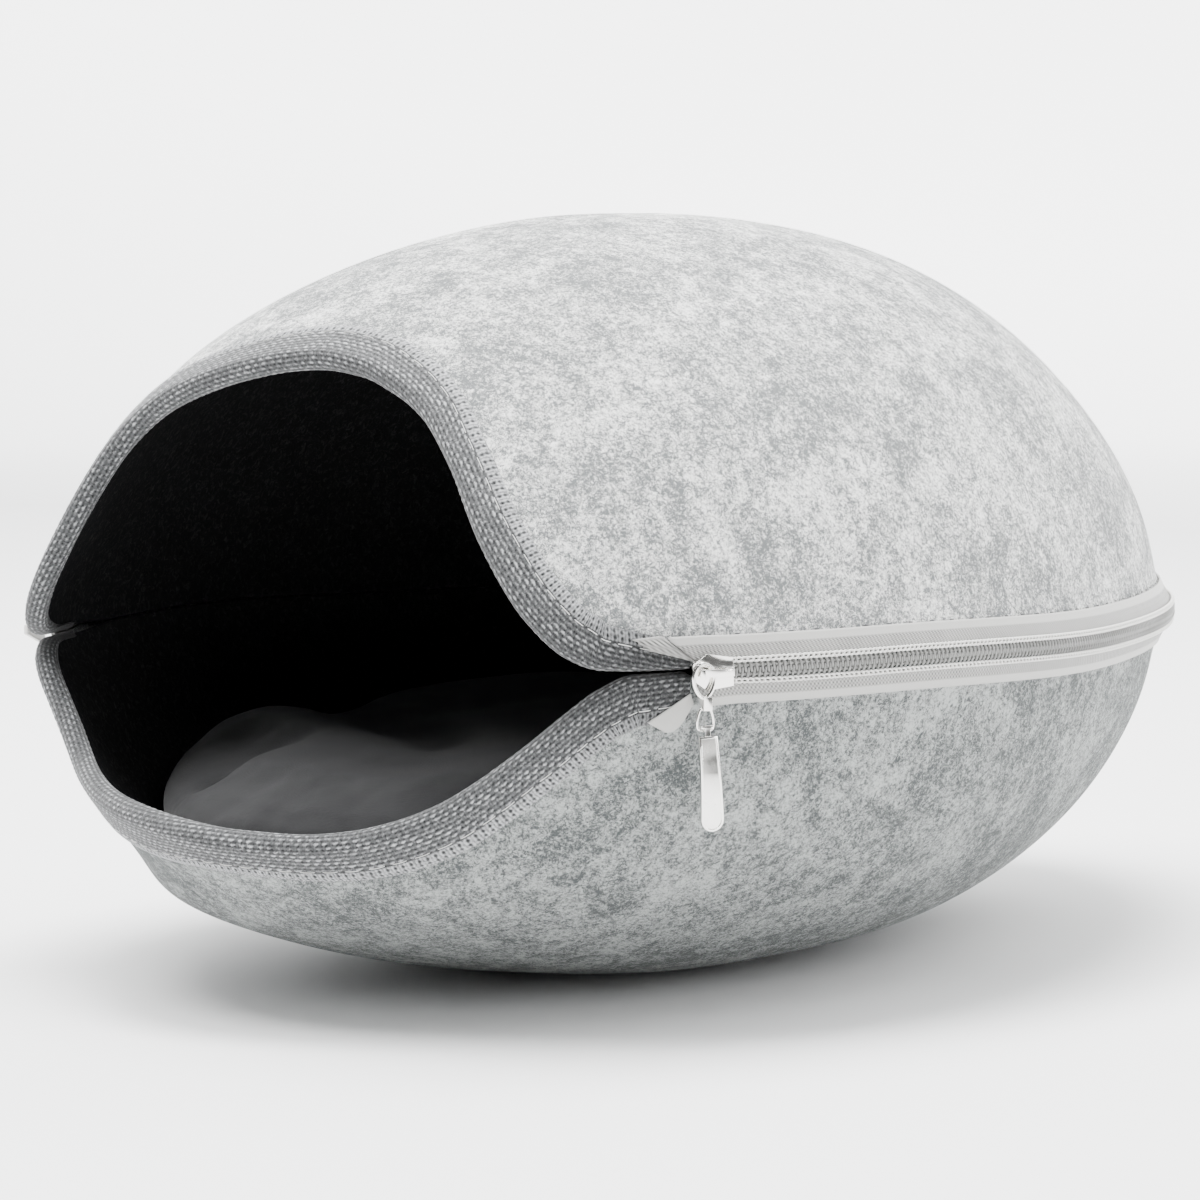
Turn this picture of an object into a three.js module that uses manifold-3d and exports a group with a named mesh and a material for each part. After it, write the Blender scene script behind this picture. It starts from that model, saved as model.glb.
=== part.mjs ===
// An egg-shaped cave bed for a pet: two moulded felt halves joined by a zip, with a bound mouth,
// a dark lining and a plush cushion. Millimetres, +Z up, the mouth towards -Y, the floor at z = 0.
// Round the egg a place is given by its turn in degrees, 0 at the mouth, 90 on the right side and
// 180 at the back, and by its height above the plane of the zip.
import * as THREE from 'three';
import Module from 'manifold-3d';
import { mergeVertices } from 'three/addons/utils/BufferGeometryUtils.js';

const wasm = await Module();
wasm.setup();

// The egg at the outer face of the felt. reach is the height of a half over the plane of the zip,
// and flat and round are the powers that shape its side from the zip to its top or bottom.
const egg = {
  halfWidth: 172.5,
  halfLength: 250,
  taper: 0.118,
  bow: 1.05,
  upper: { reach: 147.5, flat: 1.84, round: 2.12 },
  lower: { reach: 121, flat: 1.95, round: 2.71 },
};
const restHeight = 119;

// The seam between the halves: it sinks a little from the mouth to the back, and the felt is
// thicker along it, where its edge is turned back under the zip.
const seam = { front: 1.8, back: -1.3, sinksFrom: 70, sinksTo: 105 };
const ridge = { height: 4.5, width: 8, startsAt: 46, fullAt: 62 };
const lipDip = { depth: 5, turn: 33, spread: 16, deepest: 35 };

// Uneven places of the moulded felt on the left of the mouth: how far each stands out and up from
// the even egg, and how far it spreads in degrees and in millimetres of height
const unevenPlaces = [
  { turn: -45, height: 50, turnSpread: 24, heightSpread: 38, out: -4, up: 0 },
  { turn: -50, height: 10, turnSpread: 20, heightSpread: 26, out: 6.5, up: -4.6 },
  { turn: -50, height: -28, turnSpread: 20, heightSpread: 28, out: -2, up: 0 },
  { turn: -35, height: -62, turnSpread: 22, heightSpread: 16, out: -3, up: 0 },
  { turn: -30, height: -89, turnSpread: 30, heightSpread: 12, out: 6.5, up: 0 },
];

// The edge of the mouth from its left corner to its right: how far it rises above the plane of the
// zip and drops below it, and how wide the binding lies on the felt there.
const mouthRows = [
  { turn: -52.4, rise: 2, drop: -1.6, riseTape: 9, dropTape: 15 },
  { turn: -48, rise: 2.1, drop: -1.5, riseTape: 12.5, dropTape: 16.5 },
  { turn: -45, rise: 2.8, drop: 2.6, riseTape: 14, dropTape: 17 },
  { turn: -42.5, rise: 6.4, drop: 9, riseTape: 15.5, dropTape: 17 },
  { turn: -38.7, rise: 19.2, drop: 20.5, riseTape: 14.5, dropTape: 17.5 },
  { turn: -34.4, rise: 41.5, drop: 31.2, riseTape: 13, dropTape: 18.5 },
  { turn: -30, rise: 64.5, drop: 38.5, riseTape: 14, dropTape: 19 },
  { turn: -25, rise: 78.5, drop: 42.5, riseTape: 16, dropTape: 19.5 },
  { turn: -20, rise: 85.5, drop: 45.5, riseTape: 17, dropTape: 20 },
  { turn: -13.5, rise: 91.2, drop: 48.3, riseTape: 17.5, dropTape: 20 },
  { turn: -6.5, rise: 95.6, drop: 50.8, riseTape: 17.5, dropTape: 19 },
  { turn: 0, rise: 98.2, drop: 52.8, riseTape: 17.5, dropTape: 17.3 },
  { turn: 6.5, rise: 99, drop: 54.3, riseTape: 18, dropTape: 16.2 },
  { turn: 13.5, rise: 97, drop: 54.6, riseTape: 17.5, dropTape: 16.2 },
  { turn: 20, rise: 91.2, drop: 52.6, riseTape: 16.5, dropTape: 16.8 },
  { turn: 25, rise: 83.2, drop: 48.7, riseTape: 15, dropTape: 17 },
  { turn: 30, rise: 66.8, drop: 42.4, riseTape: 13.6, dropTape: 16.9 },
  { turn: 34.4, rise: 42, drop: 33.9, riseTape: 15, dropTape: 16.1 },
  { turn: 38.7, rise: 19.2, drop: 22.9, riseTape: 16, dropTape: 15.5 },
  { turn: 42.5, rise: 6.4, drop: 11, riseTape: 16, dropTape: 15.5 },
  { turn: 45, rise: 2.8, drop: 3.6, riseTape: 14.5, dropTape: 16 },
  { turn: 48, rise: 2.1, drop: -1.2, riseTape: 12.5, dropTape: 16.2 },
  { turn: 52.4, rise: 2, drop: -1.6, riseTape: 9, dropTape: 15 },
];
const bindingEnd = 52.4;

// Thicknesses, and the clear space left between neighbouring pieces
const clear = 0.3;
const feltThickness = 3.5;
const liningThickness = 1;
const seamHalfGap = 1.9;

// The binding: its width on the lining, and how its section thins to its borders and rounds at the fold
const binding = { thickness: 1.4, insideWidth: 7, borderShare: 0.6, middleShare: 0.55 };
const foldCorner = { side: 0.3, depth: 0.4 };
const bindingFold = binding.thickness + clear;

// The zip, with heights from the seam. Its tapes come down from the binding to the felt over the
// turns that settlesOver gives.
const zip = { startsAt: 52.8, settlesOver: 4 };
const tape = { from: 2.9, to: 10.6, thickness: 0.9, overBinding: 0.8 };
const tapeShares = [0, 0.27, 0.72, 1];
const coil = { halfWidth: 2.6, thickness: 2.1, borderShare: 0.7 };

// Folded ends of the two tapes, as heights from the seam
const upperTapeEnd = [
  { turn: 47.7, low: 9.4, high: 11.4 },
  { turn: 50.2, low: 6.2, high: 11 },
  { turn: 52.8, low: 2.9, high: 10.3 },
];
const lowerTapeEnd = [
  { turn: 49, low: -17.2, high: -15.4 },
  { turn: 50.6, low: -18.2, high: -11.2 },
  { turn: 52.8, low: -10.8, high: -4 },
];

// Grid of the felt: columns beside the mouth, columns round the back, and the rows from its edge
const mouthColumns = 16;
const backColumns = 12;
const edgeRows = [bindingFold, 5, 8.5, 12, 18];
const liningRows = [bindingFold, 8.5, 18];
const domeRows = 8;

// The slider and its pull, in the slider's own axes: x along the zip, y up, z outward
const slider = { turn: 54, lift: 3.3, plate: 1.3, flange: 0.8, joint: 0.2, bridgeWidth: 2.4, holeMargin: 1 };
const sliderOutline = [[-6.8, 2.4], [-2.2, 5.8], [6.6, 4.5], [6.8, -4.5], [-2.2, -5.8], [-6.8, -2.4]];
const flangeOutline = [[-1, 4.1], [6.6, 3.3], [6.6, 4.4], [-1, 5.5]];
const bridgeOutline = [[-5.2, -0.4], [-5, 2.4], [-3.8, 3.4], [4.2, 3.4], [6.2, 2.6], [6.4, -0.4]];
const bridgeHole = [[-3.8, -0.6], [-3.8, 1.9], [-3.2, 2.3], [2.8, 2.3], [3.6, 1.9], [4.4, -0.6]];
const ring = { x: -3.5, top: 2.8, middle: -2, bottom: -8, halfWidth: 3.5, wire: 0.7, off: 5.65 };
const ringNarrowing = 0.22;
const ringSteps = 20;
const lug = { x: -2.4, width: 2.9, from: -7.6, to: -12, thickness: 1.5 };
const link = { x: -2.6, top: -11.2, bottom: -18.6, halfTop: 1.9, halfBottom: 2.8, wire: 0.5, off: 4 };
const linkForm = { corner: 0.5, narrowsFrom: 0.45, steps: 16 };
const wireSides = 6;
const tab = { x: -2.5, top: -20, length: 30.3, halfTop: 2.95, endRadius: 3.7, endSteps: 8 };
const tabPlate = { thickness: 1.6, off: 4.8, tilt: 3 };
const tabRecess = { margin: 0.75, depth: 0.35 };
const tabHead = { halfStem: 0.9, halfBar: 2, barFrom: -17.6, barTo: -16.6, overlap: 1, thicknessShare: 0.7 };

// Loose end of the zip, past the far corner of the mouth, curling off the felt
const farEnd = { from: -52.2, to: -49, low: -2.2, high: 2.2, halfWidth: 1.5, thickness: 1.4, steps: 3 };
const farLift = { from: 3.5, to: 6, curl: 1.5 };

// The cushion fills the bottom of the lower half: its border lies along the wall, its under side
// on the lining, and its top has a crown with soft lumps and a fold between them.
const cushion = { border: 0.85, clearance: 2.2, borderRise: 12, crown: 23, shoulder: 3 };
const cushionRows = [1, 0.95, 0.84, 0.66, 0.42, 0.2];
const cushionLumps = [
  { x: -100, y: -112, reach: 50, rise: 14 },
  { x: -60, y: 10, reach: 66, rise: 7 },
  { x: 75, y: -60, reach: 60, rise: 4 },
  { x: -62, y: -72, reach: 30, rise: -7 },
];

const looks = {
  felt: { color: 0xcfcfcb, roughness: 1 },
  lining: { color: 0x171717, roughness: 1 },
  binding: { color: 0x83888a, roughness: 0.95 },
  tape: { color: 0xc8c6c0, roughness: 0.6 },
  coil: { color: 0xc8c6c0, roughness: 0.5 },
  zipEnd: { color: 0xe9e8e4, roughness: 0.7 },
  plush: { color: 0x4a4a4b, roughness: 1 },
  nickel: { color: 0xd9d9d6, roughness: 0.3, metalness: 1 },
};

const deg = Math.PI / 180;

function mix(from, to, share) {
  return from + (to - from) * share;
}

function smoothStep(from, to, value) {
  const share = Math.min(Math.max((value - from) / (to - from), 0), 1);
  return share * share * (3 - 2 * share);
}

// A smooth curve through the named column of the rows that never overshoots
function readRows(rows, column, turn) {
  const at = Math.max(Math.min(turn, rows.at(-1).turn), rows[0].turn);
  const next = Math.max(rows.findIndex((row) => row.turn >= at), 1);
  const grade = (index) => {
    if (index < 1 || index >= rows.length) return 0;
    return (rows[index][column] - rows[index - 1][column]) / (rows[index].turn - rows[index - 1].turn);
  };
  const slope = (index) => {
    const [before, after] = [grade(index), grade(index + 1)];
    return before * after > 0 ? (2 * before * after) / (before + after) : 0;
  };
  const [from, to] = [rows[next - 1], rows[next]];
  const span = to.turn - from.turn;
  const u = (at - from.turn) / span;
  return mix(from[column], to[column], u * u * (3 - 2 * u))
    + span * (slope(next - 1) * u * (1 - u) ** 2 - slope(next) * u * u * (1 - u));
}

function seamHeight(turn) {
  return mix(seam.front, seam.back, smoothStep(seam.sinksFrom, seam.sinksTo, Math.abs(turn)));
}

// Outline of the egg in the plane of the zip
function planPoint(turn) {
  const bend = (value) => Math.sign(value) * Math.abs(value) ** egg.bow;
  const along = -bend(Math.cos(turn * deg));
  const x = egg.halfWidth * bend(Math.sin(turn * deg)) * (1 - egg.taper * along);
  return new THREE.Vector2(x, egg.halfLength * along);
}

// Share of the plan outline that the egg has left at a height
function shrink(height) {
  const half = height >= 0 ? egg.upper : egg.lower;
  const rise = Math.min(Math.abs(height) / half.reach, 1);
  return (1 - rise ** half.flat) ** (1 / half.round);
}

// Outer face without its thickness, with the ridge under the zip, the dip of the lower lip and the
// uneven places. Seen from inside, the wall has no ridge.
function barePoint(turn, height, inside = false) {
  const plan = planPoint(turn);
  const outward = new THREE.Vector2(plan.x / egg.halfWidth ** 2, plan.y / egg.halfLength ** 2).normalize();
  const fromSeam = (height - seamHeight(turn)) / ridge.width;
  const behindMouth = smoothStep(ridge.startsAt, ridge.fullAt, Math.abs(turn));
  const swell = inside ? 0 : ridge.height * behindMouth * Math.exp(-(fromSeam ** 2));
  const besideLip = Math.exp(-(((Math.abs(turn) - lipDip.turn) / lipDip.spread) ** 2));
  const belowSeam = Math.min(height / lipDip.deepest, 0) ** 2;
  const dip = lipDip.depth * besideLip * belowSeam * Math.exp(1 - belowSeam);
  let stand = swell - dip;
  let level = height;
  for (const place of unevenPlaces) {
    const turnsAway = (turn - place.turn) / place.turnSpread;
    const heightAway = (height - place.height) / place.heightSpread;
    const share = Math.exp(-(turnsAway ** 2) - heightAway ** 2);
    stand += place.out * share;
    level += place.up * share;
  }
  plan.multiplyScalar(shrink(height)).addScaledVector(outward, stand);
  return new THREE.Vector3(plan.x, plan.y, Math.max(level, -restHeight));
}

// A point off the outer face, with the climb in degrees instead of the height: 90 is the top
function climbHeight(climb) {
  const half = climb >= 0 ? egg.upper : egg.lower;
  return half.reach * Math.sin(climb * deg);
}

function heightClimb(height) {
  const half = height >= 0 ? egg.upper : egg.lower;
  return Math.asin(height / half.reach) / deg;
}

function facePoint(turn, climb, off) {
  const step = 0.05;
  const bare = (atTurn, atClimb) => barePoint(atTurn, climbHeight(atClimb), off < 0);
  const round = bare(turn + step, climb).sub(bare(turn - step, climb));
  const up = bare(turn, Math.min(climb + step, 90)).sub(bare(turn, Math.max(climb - step, -90)));
  return bare(turn, climb).addScaledVector(round.cross(up).normalize(), off);
}

function polePoint(side, off) {
  const height = side > 0 ? egg.upper.reach : -restHeight;
  return new THREE.Vector3(0, 0, height + side * off);
}

// Height of the visible edge of the mouth, or of the seam behind its corners. side is 1 for the
// upper half and -1 for the lower.
function edgeHeight(turn, side) {
  if (Math.abs(turn) <= bindingEnd) {
    return side > 0 ? readRows(mouthRows, 'rise', turn) : -readRows(mouthRows, 'drop', turn);
  }
  return seamHeight(turn) + side * (seamHalfGap - bindingFold);
}

// Direction square to the edge, into the felt, as change of turn and height for one millimetre
function intoFelt(turn, side) {
  const step = 0.4;
  const height = edgeHeight(turn, side);
  const here = barePoint(turn, height);
  const alongEdge = barePoint(turn + step, edgeHeight(turn + step, side))
    .sub(barePoint(turn - step, edgeHeight(turn - step, side)));
  const perTurn = barePoint(turn + step, height).sub(here).divideScalar(step);
  const perHeight = barePoint(turn, height + step).sub(here).divideScalar(step);
  const normal = perTurn.clone().cross(perHeight).normalize();
  const square = normal.cross(alongEdge).normalize();
  square.multiplyScalar(Math.sign(square.z) * side);
  const [a, b, c] = [perTurn.dot(perTurn), perTurn.dot(perHeight), perHeight.dot(perHeight)];
  const [p, q] = [perTurn.dot(square), perHeight.dot(square)];
  const scale = a * c - b * b;
  return { turn: (p * c - q * b) / scale, height: (q * a - p * b) / scale };
}

// A point a distance into the felt from the edge of the mouth or the seam
function nearEdge(turn, side, distance, off) {
  const into = intoFelt(turn, side);
  const height = edgeHeight(turn, side) + into.height * distance;
  return facePoint(turn + into.turn * distance, heightClimb(height), off);
}

// A closed sheet between two layers of grid points. at(column, row, layer) gives a point, layer 0
// outside and 1 inside. A ring closes round its columns, and a pole closes it over its last row.
function sheetSolid({ columns, rows, ring = false, pole = false, at }) {
  const columnCount = ring ? columns : columns + 1;
  const rowCount = pole ? rows : rows + 1;
  const points = [];
  const layerStart = [];
  for (const layer of [0, 1]) {
    layerStart.push(points.length);
    for (let row = 0; row < rowCount; row++) {
      for (let column = 0; column < columnCount; column++) points.push(at(column, row, layer));
    }
    if (pole) points.push(at(0, rows, layer));
  }
  const index = (column, row, layer) => {
    if (pole && row === rows) return layerStart[layer] + columnCount * rowCount;
    return layerStart[layer] + row * columnCount + (column % columnCount);
  };
  const faces = [];
  const quad = (a, b, c, d) => {
    if (b !== c) faces.push(a, b, c);
    if (c !== d) faces.push(a, c, d);
  };
  for (let column = 0; column < columns; column++) {
    const next = column + 1;
    for (let row = 0; row < rows; row++) {
      quad(index(column, row, 0), index(next, row, 0), index(next, row + 1, 0), index(column, row + 1, 0));
      quad(index(column, row, 1), index(column, row + 1, 1), index(next, row + 1, 1), index(next, row, 1));
    }
    quad(index(column, 0, 1), index(next, 0, 1), index(next, 0, 0), index(column, 0, 0));
    if (!pole) {
      quad(index(column, rows, 0), index(next, rows, 0), index(next, rows, 1), index(column, rows, 1));
    }
  }
  if (!ring) {
    for (let row = 0; row < rows; row++) {
      const up = row + 1;
      quad(index(0, row, 1), index(0, row, 0), index(0, up, 0), index(0, up, 1));
      quad(index(columns, row, 0), index(columns, row, 1), index(columns, up, 1), index(columns, up, 0));
    }
  }
  return facingOut(points, faces);
}

function facingOut(points, faces) {
  let volume = 0;
  for (let face = 0; face < faces.length; face += 3) {
    const [a, b, c] = [points[faces[face]], points[faces[face + 1]], points[faces[face + 2]]];
    volume += a.dot(b.clone().cross(c));
  }
  const geometry = new THREE.BufferGeometry().setFromPoints(points);
  geometry.setIndex(volume > 0 ? faces : faces.slice().reverse());
  return geometry;
}

function addPiece(group, name, geometry, look) {
  const mesh = new THREE.Mesh(geometry, new THREE.MeshStandardMaterial(look));
  mesh.name = name;
  group.add(mesh);
  return mesh;
}

// Turns of the columns, denser beside the mouth, all the way round from the middle of the back
function columnTurns() {
  const turns = [];
  for (let column = 0; column <= mouthColumns; column++) turns.push((column / mouthColumns) * zip.startsAt);
  for (let column = 1; column <= backColumns; column++) {
    turns.push(mix(zip.startsAt, 180, column / backColumns));
  }
  const left = turns.slice(1, -1).map((turn) => -turn).reverse();
  return [...left, ...turns];
}

// One half as a sheet between two offsets from the outer face. Behind the corners of the mouth its
// edge comes up to the other half.
function halfSheet(side, edges, offsets) {
  const turns = columnTurns();
  const lastClimb = side > 0 ? 90 : heightClimb(-restHeight);
  const rows = edges.length - 1 + domeRows;
  const at = (column, row, layer) => {
    const turn = turns[column];
    const behindMouth = Math.abs(turn) > zip.startsAt;
    if (row === 0 && behindMouth) return nearEdge(turn, side, 0, offsets[layer]);
    if (row < edges.length) return nearEdge(turn, side, edges[row], offsets[layer]);
    if (row === rows) return polePoint(side, offsets[layer]);
    const into = intoFelt(turn, side);
    const distance = edges.at(-1);
    const climb = heightClimb(edgeHeight(turn, side) + into.height * distance);
    const steps = side > 0 ? domeRows : domeRows - 1;
    const share = (row - edges.length + 1) / steps;
    return facePoint(turn + into.turn * distance * (1 - share), mix(climb, lastClimb, share), offsets[layer]);
  };
  return sheetSolid({ columns: turns.length, rows, ring: true, pole: true, at });
}

// The knitted tape folded over the edge of the mouth. Its section runs from its border on the felt
// round the edge to its border on the lining, in steps into the felt and off its outer face.
function bindingSheet(side) {
  const turns = columnTurns().filter((turn) => Math.abs(turn) <= bindingEnd);
  const stations = [-bindingEnd, ...turns, bindingEnd];
  const wall = feltThickness + clear + liningThickness;
  const inner = -(wall + clear);
  const thick = binding.thickness;
  const thin = thick * binding.borderShare;
  const inFold = bindingFold - clear;
  const insideMiddle = binding.insideWidth * binding.middleShare;
  const chain = (turn) => {
    const width = readRows(mouthRows, side > 0 ? 'riseTape' : 'dropTape', turn);
    const middle = width * binding.middleShare;
    return [
      [[width, clear + thin], [width, clear]],
      [[middle, clear + thick], [middle, clear]],
      [[bindingFold, clear + thick], [bindingFold, clear]],
      [[foldCorner.side, -foldCorner.depth], [inFold, -foldCorner.depth]],
      [[0, -wall / 2], [inFold, -wall / 2]],
      [[foldCorner.side, foldCorner.depth - wall], [inFold, foldCorner.depth - wall]],
      [[bindingFold, inner - thick], [bindingFold, inner]],
      [[insideMiddle, inner - thick], [insideMiddle, inner]],
      [[binding.insideWidth, inner - thin], [binding.insideWidth, inner]],
    ];
  };
  const chains = stations.map(chain);
  const at = (column, row, layer) => nearEdge(stations[column], side, ...chains[column][row][layer]);
  return sheetSolid({ columns: stations.length - 1, rows: chains[0].length - 1, at });
}

// One tape of the zip, from its folded end at the right corner round the back to the left
function tapeSheet(side) {
  const endRows = side > 0 ? upperTapeEnd : lowerTapeEnd;
  const right = columnTurns().filter((turn) => turn > zip.startsAt + 1 && turn <= 180);
  const left = right.filter((turn) => turn < 180).map((turn) => 360 - turn).reverse();
  const ends = endRows.map((row) => row.turn);
  const stations = [...ends, ...right, ...left, ...ends.map((turn) => 360 - turn).reverse()];
  const band = side > 0 ? { low: tape.from, high: tape.to } : { low: -tape.to, high: -tape.from };
  const at = (column, row, layer) => {
    const turn = stations[column] > 180 ? stations[column] - 360 : stations[column];
    const end = endRows.find((entry) => entry.turn === Math.abs(turn)) ?? band;
    const height = seamHeight(turn) + mix(end.low, end.high, tapeShares[row]);
    const settled = smoothStep(zip.startsAt, zip.startsAt + zip.settlesOver, Math.abs(turn));
    const lift = mix(binding.thickness + tape.overBinding, clear, settled);
    return facePoint(turn, heightClimb(height), lift + (layer ? 0 : tape.thickness));
  };
  return sheetSolid({ columns: stations.length - 1, rows: tapeShares.length - 1, at });
}

function coilSheet() {
  const right = columnTurns().filter((turn) => turn >= zip.startsAt);
  const left = right.filter((turn) => turn < 180).map((turn) => 360 - turn).reverse();
  const stations = [...right, ...left];
  const at = (column, row, layer) => {
    const turn = stations[column] > 180 ? stations[column] - 360 : stations[column];
    const height = seamHeight(turn) + mix(-coil.halfWidth, coil.halfWidth, row / 2);
    const crown = layer ? 0 : coil.thickness * (row === 1 ? 1 : coil.borderShare);
    return facePoint(turn, heightClimb(height), clear + crown);
  };
  return sheetSolid({ columns: stations.length - 1, rows: 2, at });
}

function outlineShape(points) {
  return new THREE.Shape(points.map(([x, y]) => new THREE.Vector2(x, y)));
}

function extruded(points, depth, lift = 0) {
  const settings = { depth, bevelEnabled: false };
  return new THREE.ExtrudeGeometry(outlineShape(points), settings).translate(0, 0, lift);
}

// A geometry as a solid that can be joined and cut, and back
function solidOf(geometry) {
  const bare = geometry.clone();
  bare.deleteAttribute('normal');
  bare.deleteAttribute('uv');
  const merged = mergeVertices(bare, 1e-4);
  const mesh = { numProp: 3, vertProperties: merged.attributes.position.array, triVerts: merged.index.array };
  return new wasm.Manifold(new wasm.Mesh(mesh));
}

function geometryOf(solid) {
  const mesh = solid.getMesh();
  const geometry = new THREE.BufferGeometry();
  geometry.setAttribute('position', new THREE.BufferAttribute(mesh.vertProperties, mesh.numProp));
  geometry.setIndex(new THREE.BufferAttribute(mesh.triVerts, 1));
  return geometry;
}

// A closed loop of round wire whose middle line is given by path(share), share from 0 to 1
function wireLoop(path, wire, steps, sides) {
  const points = [];
  const faces = [];
  for (let step = 0; step < steps; step++) {
    const near = [step - 0.5, step, step + 0.5];
    const [before, here, after] = near.map((at) => path(((at + steps) % steps) / steps));
    const outward = new THREE.Vector2(after.y - before.y, before.x - after.x).normalize();
    for (let side = 0; side < sides; side++) {
      const angle = (2 * Math.PI * (side + 0.5)) / sides;
      const at = here.clone().addScaledVector(outward, wire * Math.cos(angle));
      points.push(new THREE.Vector3(at.x, at.y, wire * Math.sin(angle)));
      const [a, b] = [step * sides + side, step * sides + ((side + 1) % sides)];
      const [c, d] = [b, a].map((corner) => (corner + sides) % (steps * sides));
      faces.push(a, b, c, a, c, d);
    }
  }
  return facingOut(points, faces);
}

function sliderBody() {
  const plate = solidOf(extruded(sliderOutline, slider.plate, slider.lift));
  const flanges = [1, -1].map((side) => {
    const strip = flangeOutline.map(([x, y]) => [x, y * side]);
    const outline = side > 0 ? strip : strip.reverse();
    return solidOf(extruded(outline, slider.flange + slider.joint, slider.lift - slider.flange));
  });
  const arch = (outline, width) => extruded(outline, width).translate(0, 0, -width / 2)
    .rotateX(Math.PI / 2).translate(0, 0, slider.lift + slider.plate);
  const bridge = solidOf(arch(bridgeOutline, slider.bridgeWidth));
  const hole = solidOf(arch(bridgeHole, slider.bridgeWidth + 2 * slider.holeMargin)).subtract(plate);
  return geometryOf(flanges.reduce((body, flange) => body.add(flange), plate).add(bridge.subtract(hole)));
}

function pullRing() {
  const path = (share) => {
    const angle = 2 * Math.PI * share;
    const upper = Math.sin(angle) > 0;
    const halfHeight = upper ? ring.top - ring.middle : ring.middle - ring.bottom;
    const halfWidth = ring.halfWidth * (upper ? 1 : 1 - ringNarrowing * Math.sin(angle) ** 2);
    const offset = new THREE.Vector2(halfWidth * Math.cos(angle), halfHeight * Math.sin(angle));
    return offset.add(new THREE.Vector2(ring.x, ring.middle));
  };
  const loop = solidOf(wireLoop(path, ring.wire, ringSteps, wireSides));
  const block = new THREE.BoxGeometry(lug.width, lug.from - lug.to, lug.thickness)
    .translate(lug.x, (lug.from + lug.to) / 2, 0);
  return geometryOf(loop.add(solidOf(block))).translate(0, 0, ring.off);
}

function pullLink() {
  const path = (share) => {
    const angle = 2 * Math.PI * share;
    const round = (value) => Math.sign(value) * Math.abs(value) ** linkForm.corner;
    const level = (round(Math.sin(angle)) + 1) / 2;
    const halfWidth = mix(link.halfBottom, link.halfTop, smoothStep(linkForm.narrowsFrom, 1, level));
    return new THREE.Vector2(link.x + halfWidth * round(Math.cos(angle)), mix(link.bottom, link.top, level));
  };
  return wireLoop(path, link.wire, linkForm.steps, wireSides).translate(0, 0, link.off);
}

// The long tab: straight sides that widen to a round end, a raised rim, and a T-shaped head
function tabOutline(inset) {
  const end = tab.endRadius - inset;
  const foot = tab.top - tab.length + tab.endRadius;
  const points = [[tab.halfTop - inset, tab.top - inset], [-tab.halfTop + inset, tab.top - inset]];
  for (let step = 0; step <= tab.endSteps; step++) {
    const angle = Math.PI + (Math.PI * step) / tab.endSteps;
    points.push([end * Math.cos(angle), foot + end * Math.sin(angle)]);
  }
  return points;
}

function pullTab() {
  const { halfStem, halfBar, barFrom, barTo } = tabHead;
  const stemFrom = tab.top - tabHead.overlap;
  const head = [[halfStem, stemFrom], [halfStem, barFrom], [halfBar, barFrom], [halfBar, barTo],
    [-halfBar, barTo], [-halfBar, barFrom], [-halfStem, barFrom], [-halfStem, stemFrom]];
  const headThickness = tabPlate.thickness * tabHead.thicknessShare;
  const plate = solidOf(extruded(tabOutline(0), tabPlate.thickness));
  const neck = solidOf(extruded(head, headThickness, (tabPlate.thickness - headThickness) / 2));
  const floor = tabPlate.thickness - tabRecess.depth;
  const recess = solidOf(extruded(tabOutline(tabRecess.margin), tabPlate.thickness, floor));
  return geometryOf(plate.add(neck).subtract(recess))
    .translate(0, -tab.top, 0).rotateZ(tabPlate.tilt * deg).translate(tab.x, tab.top, tabPlate.off);
}

function farZipEnd() {
  const at = (column, row, layer) => {
    const share = column / farEnd.steps;
    const turn = mix(farEnd.from, farEnd.to, share);
    const middle = seamHeight(turn) + mix(farEnd.low, farEnd.high, share);
    const height = middle + mix(-farEnd.halfWidth, farEnd.halfWidth, row);
    const lift = mix(farLift.from, farLift.to, share ** farLift.curl);
    return facePoint(turn, heightClimb(height), lift + (layer ? 0 : farEnd.thickness));
  };
  return sheetSolid({ columns: farEnd.steps, rows: 1, at });
}

function cushionSolid() {
  const wall = feltThickness + clear + liningThickness + cushion.clearance;
  const under = (turn, share) => {
    const height = -egg.lower.reach * (1 - share ** egg.lower.round) ** (1 / egg.lower.flat);
    return facePoint(turn, heightClimb(Math.max(height, -restHeight)), -wall);
  };
  const turns = columnTurns();
  const at = (column, row, layer) => {
    const turn = turns[column % turns.length];
    const share = cushionRows[row] ?? 0;
    const point = share ? under(turn, share * cushion.border) : new THREE.Vector3(0, 0, wall - restHeight);
    if (layer) return point;
    const border = under(turn, cushion.border).z;
    const lumps = cushionLumps.reduce((sum, lump) => {
      const away = Math.hypot(point.x - lump.x, point.y - lump.y) / lump.reach;
      return sum + lump.rise * Math.exp(-(away ** 2));
    }, 0);
    const swell = Math.sqrt(1 - share ** cushion.shoulder);
    point.z = border + cushion.borderRise + (cushion.crown + lumps) * swell;
    return point;
  };
  return sheetSolid({ columns: turns.length, rows: cushionRows.length, ring: true, pole: true, at });
}

const bed = new THREE.Group();
const eggGroup = new THREE.Group();
bed.add(eggGroup);

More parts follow.
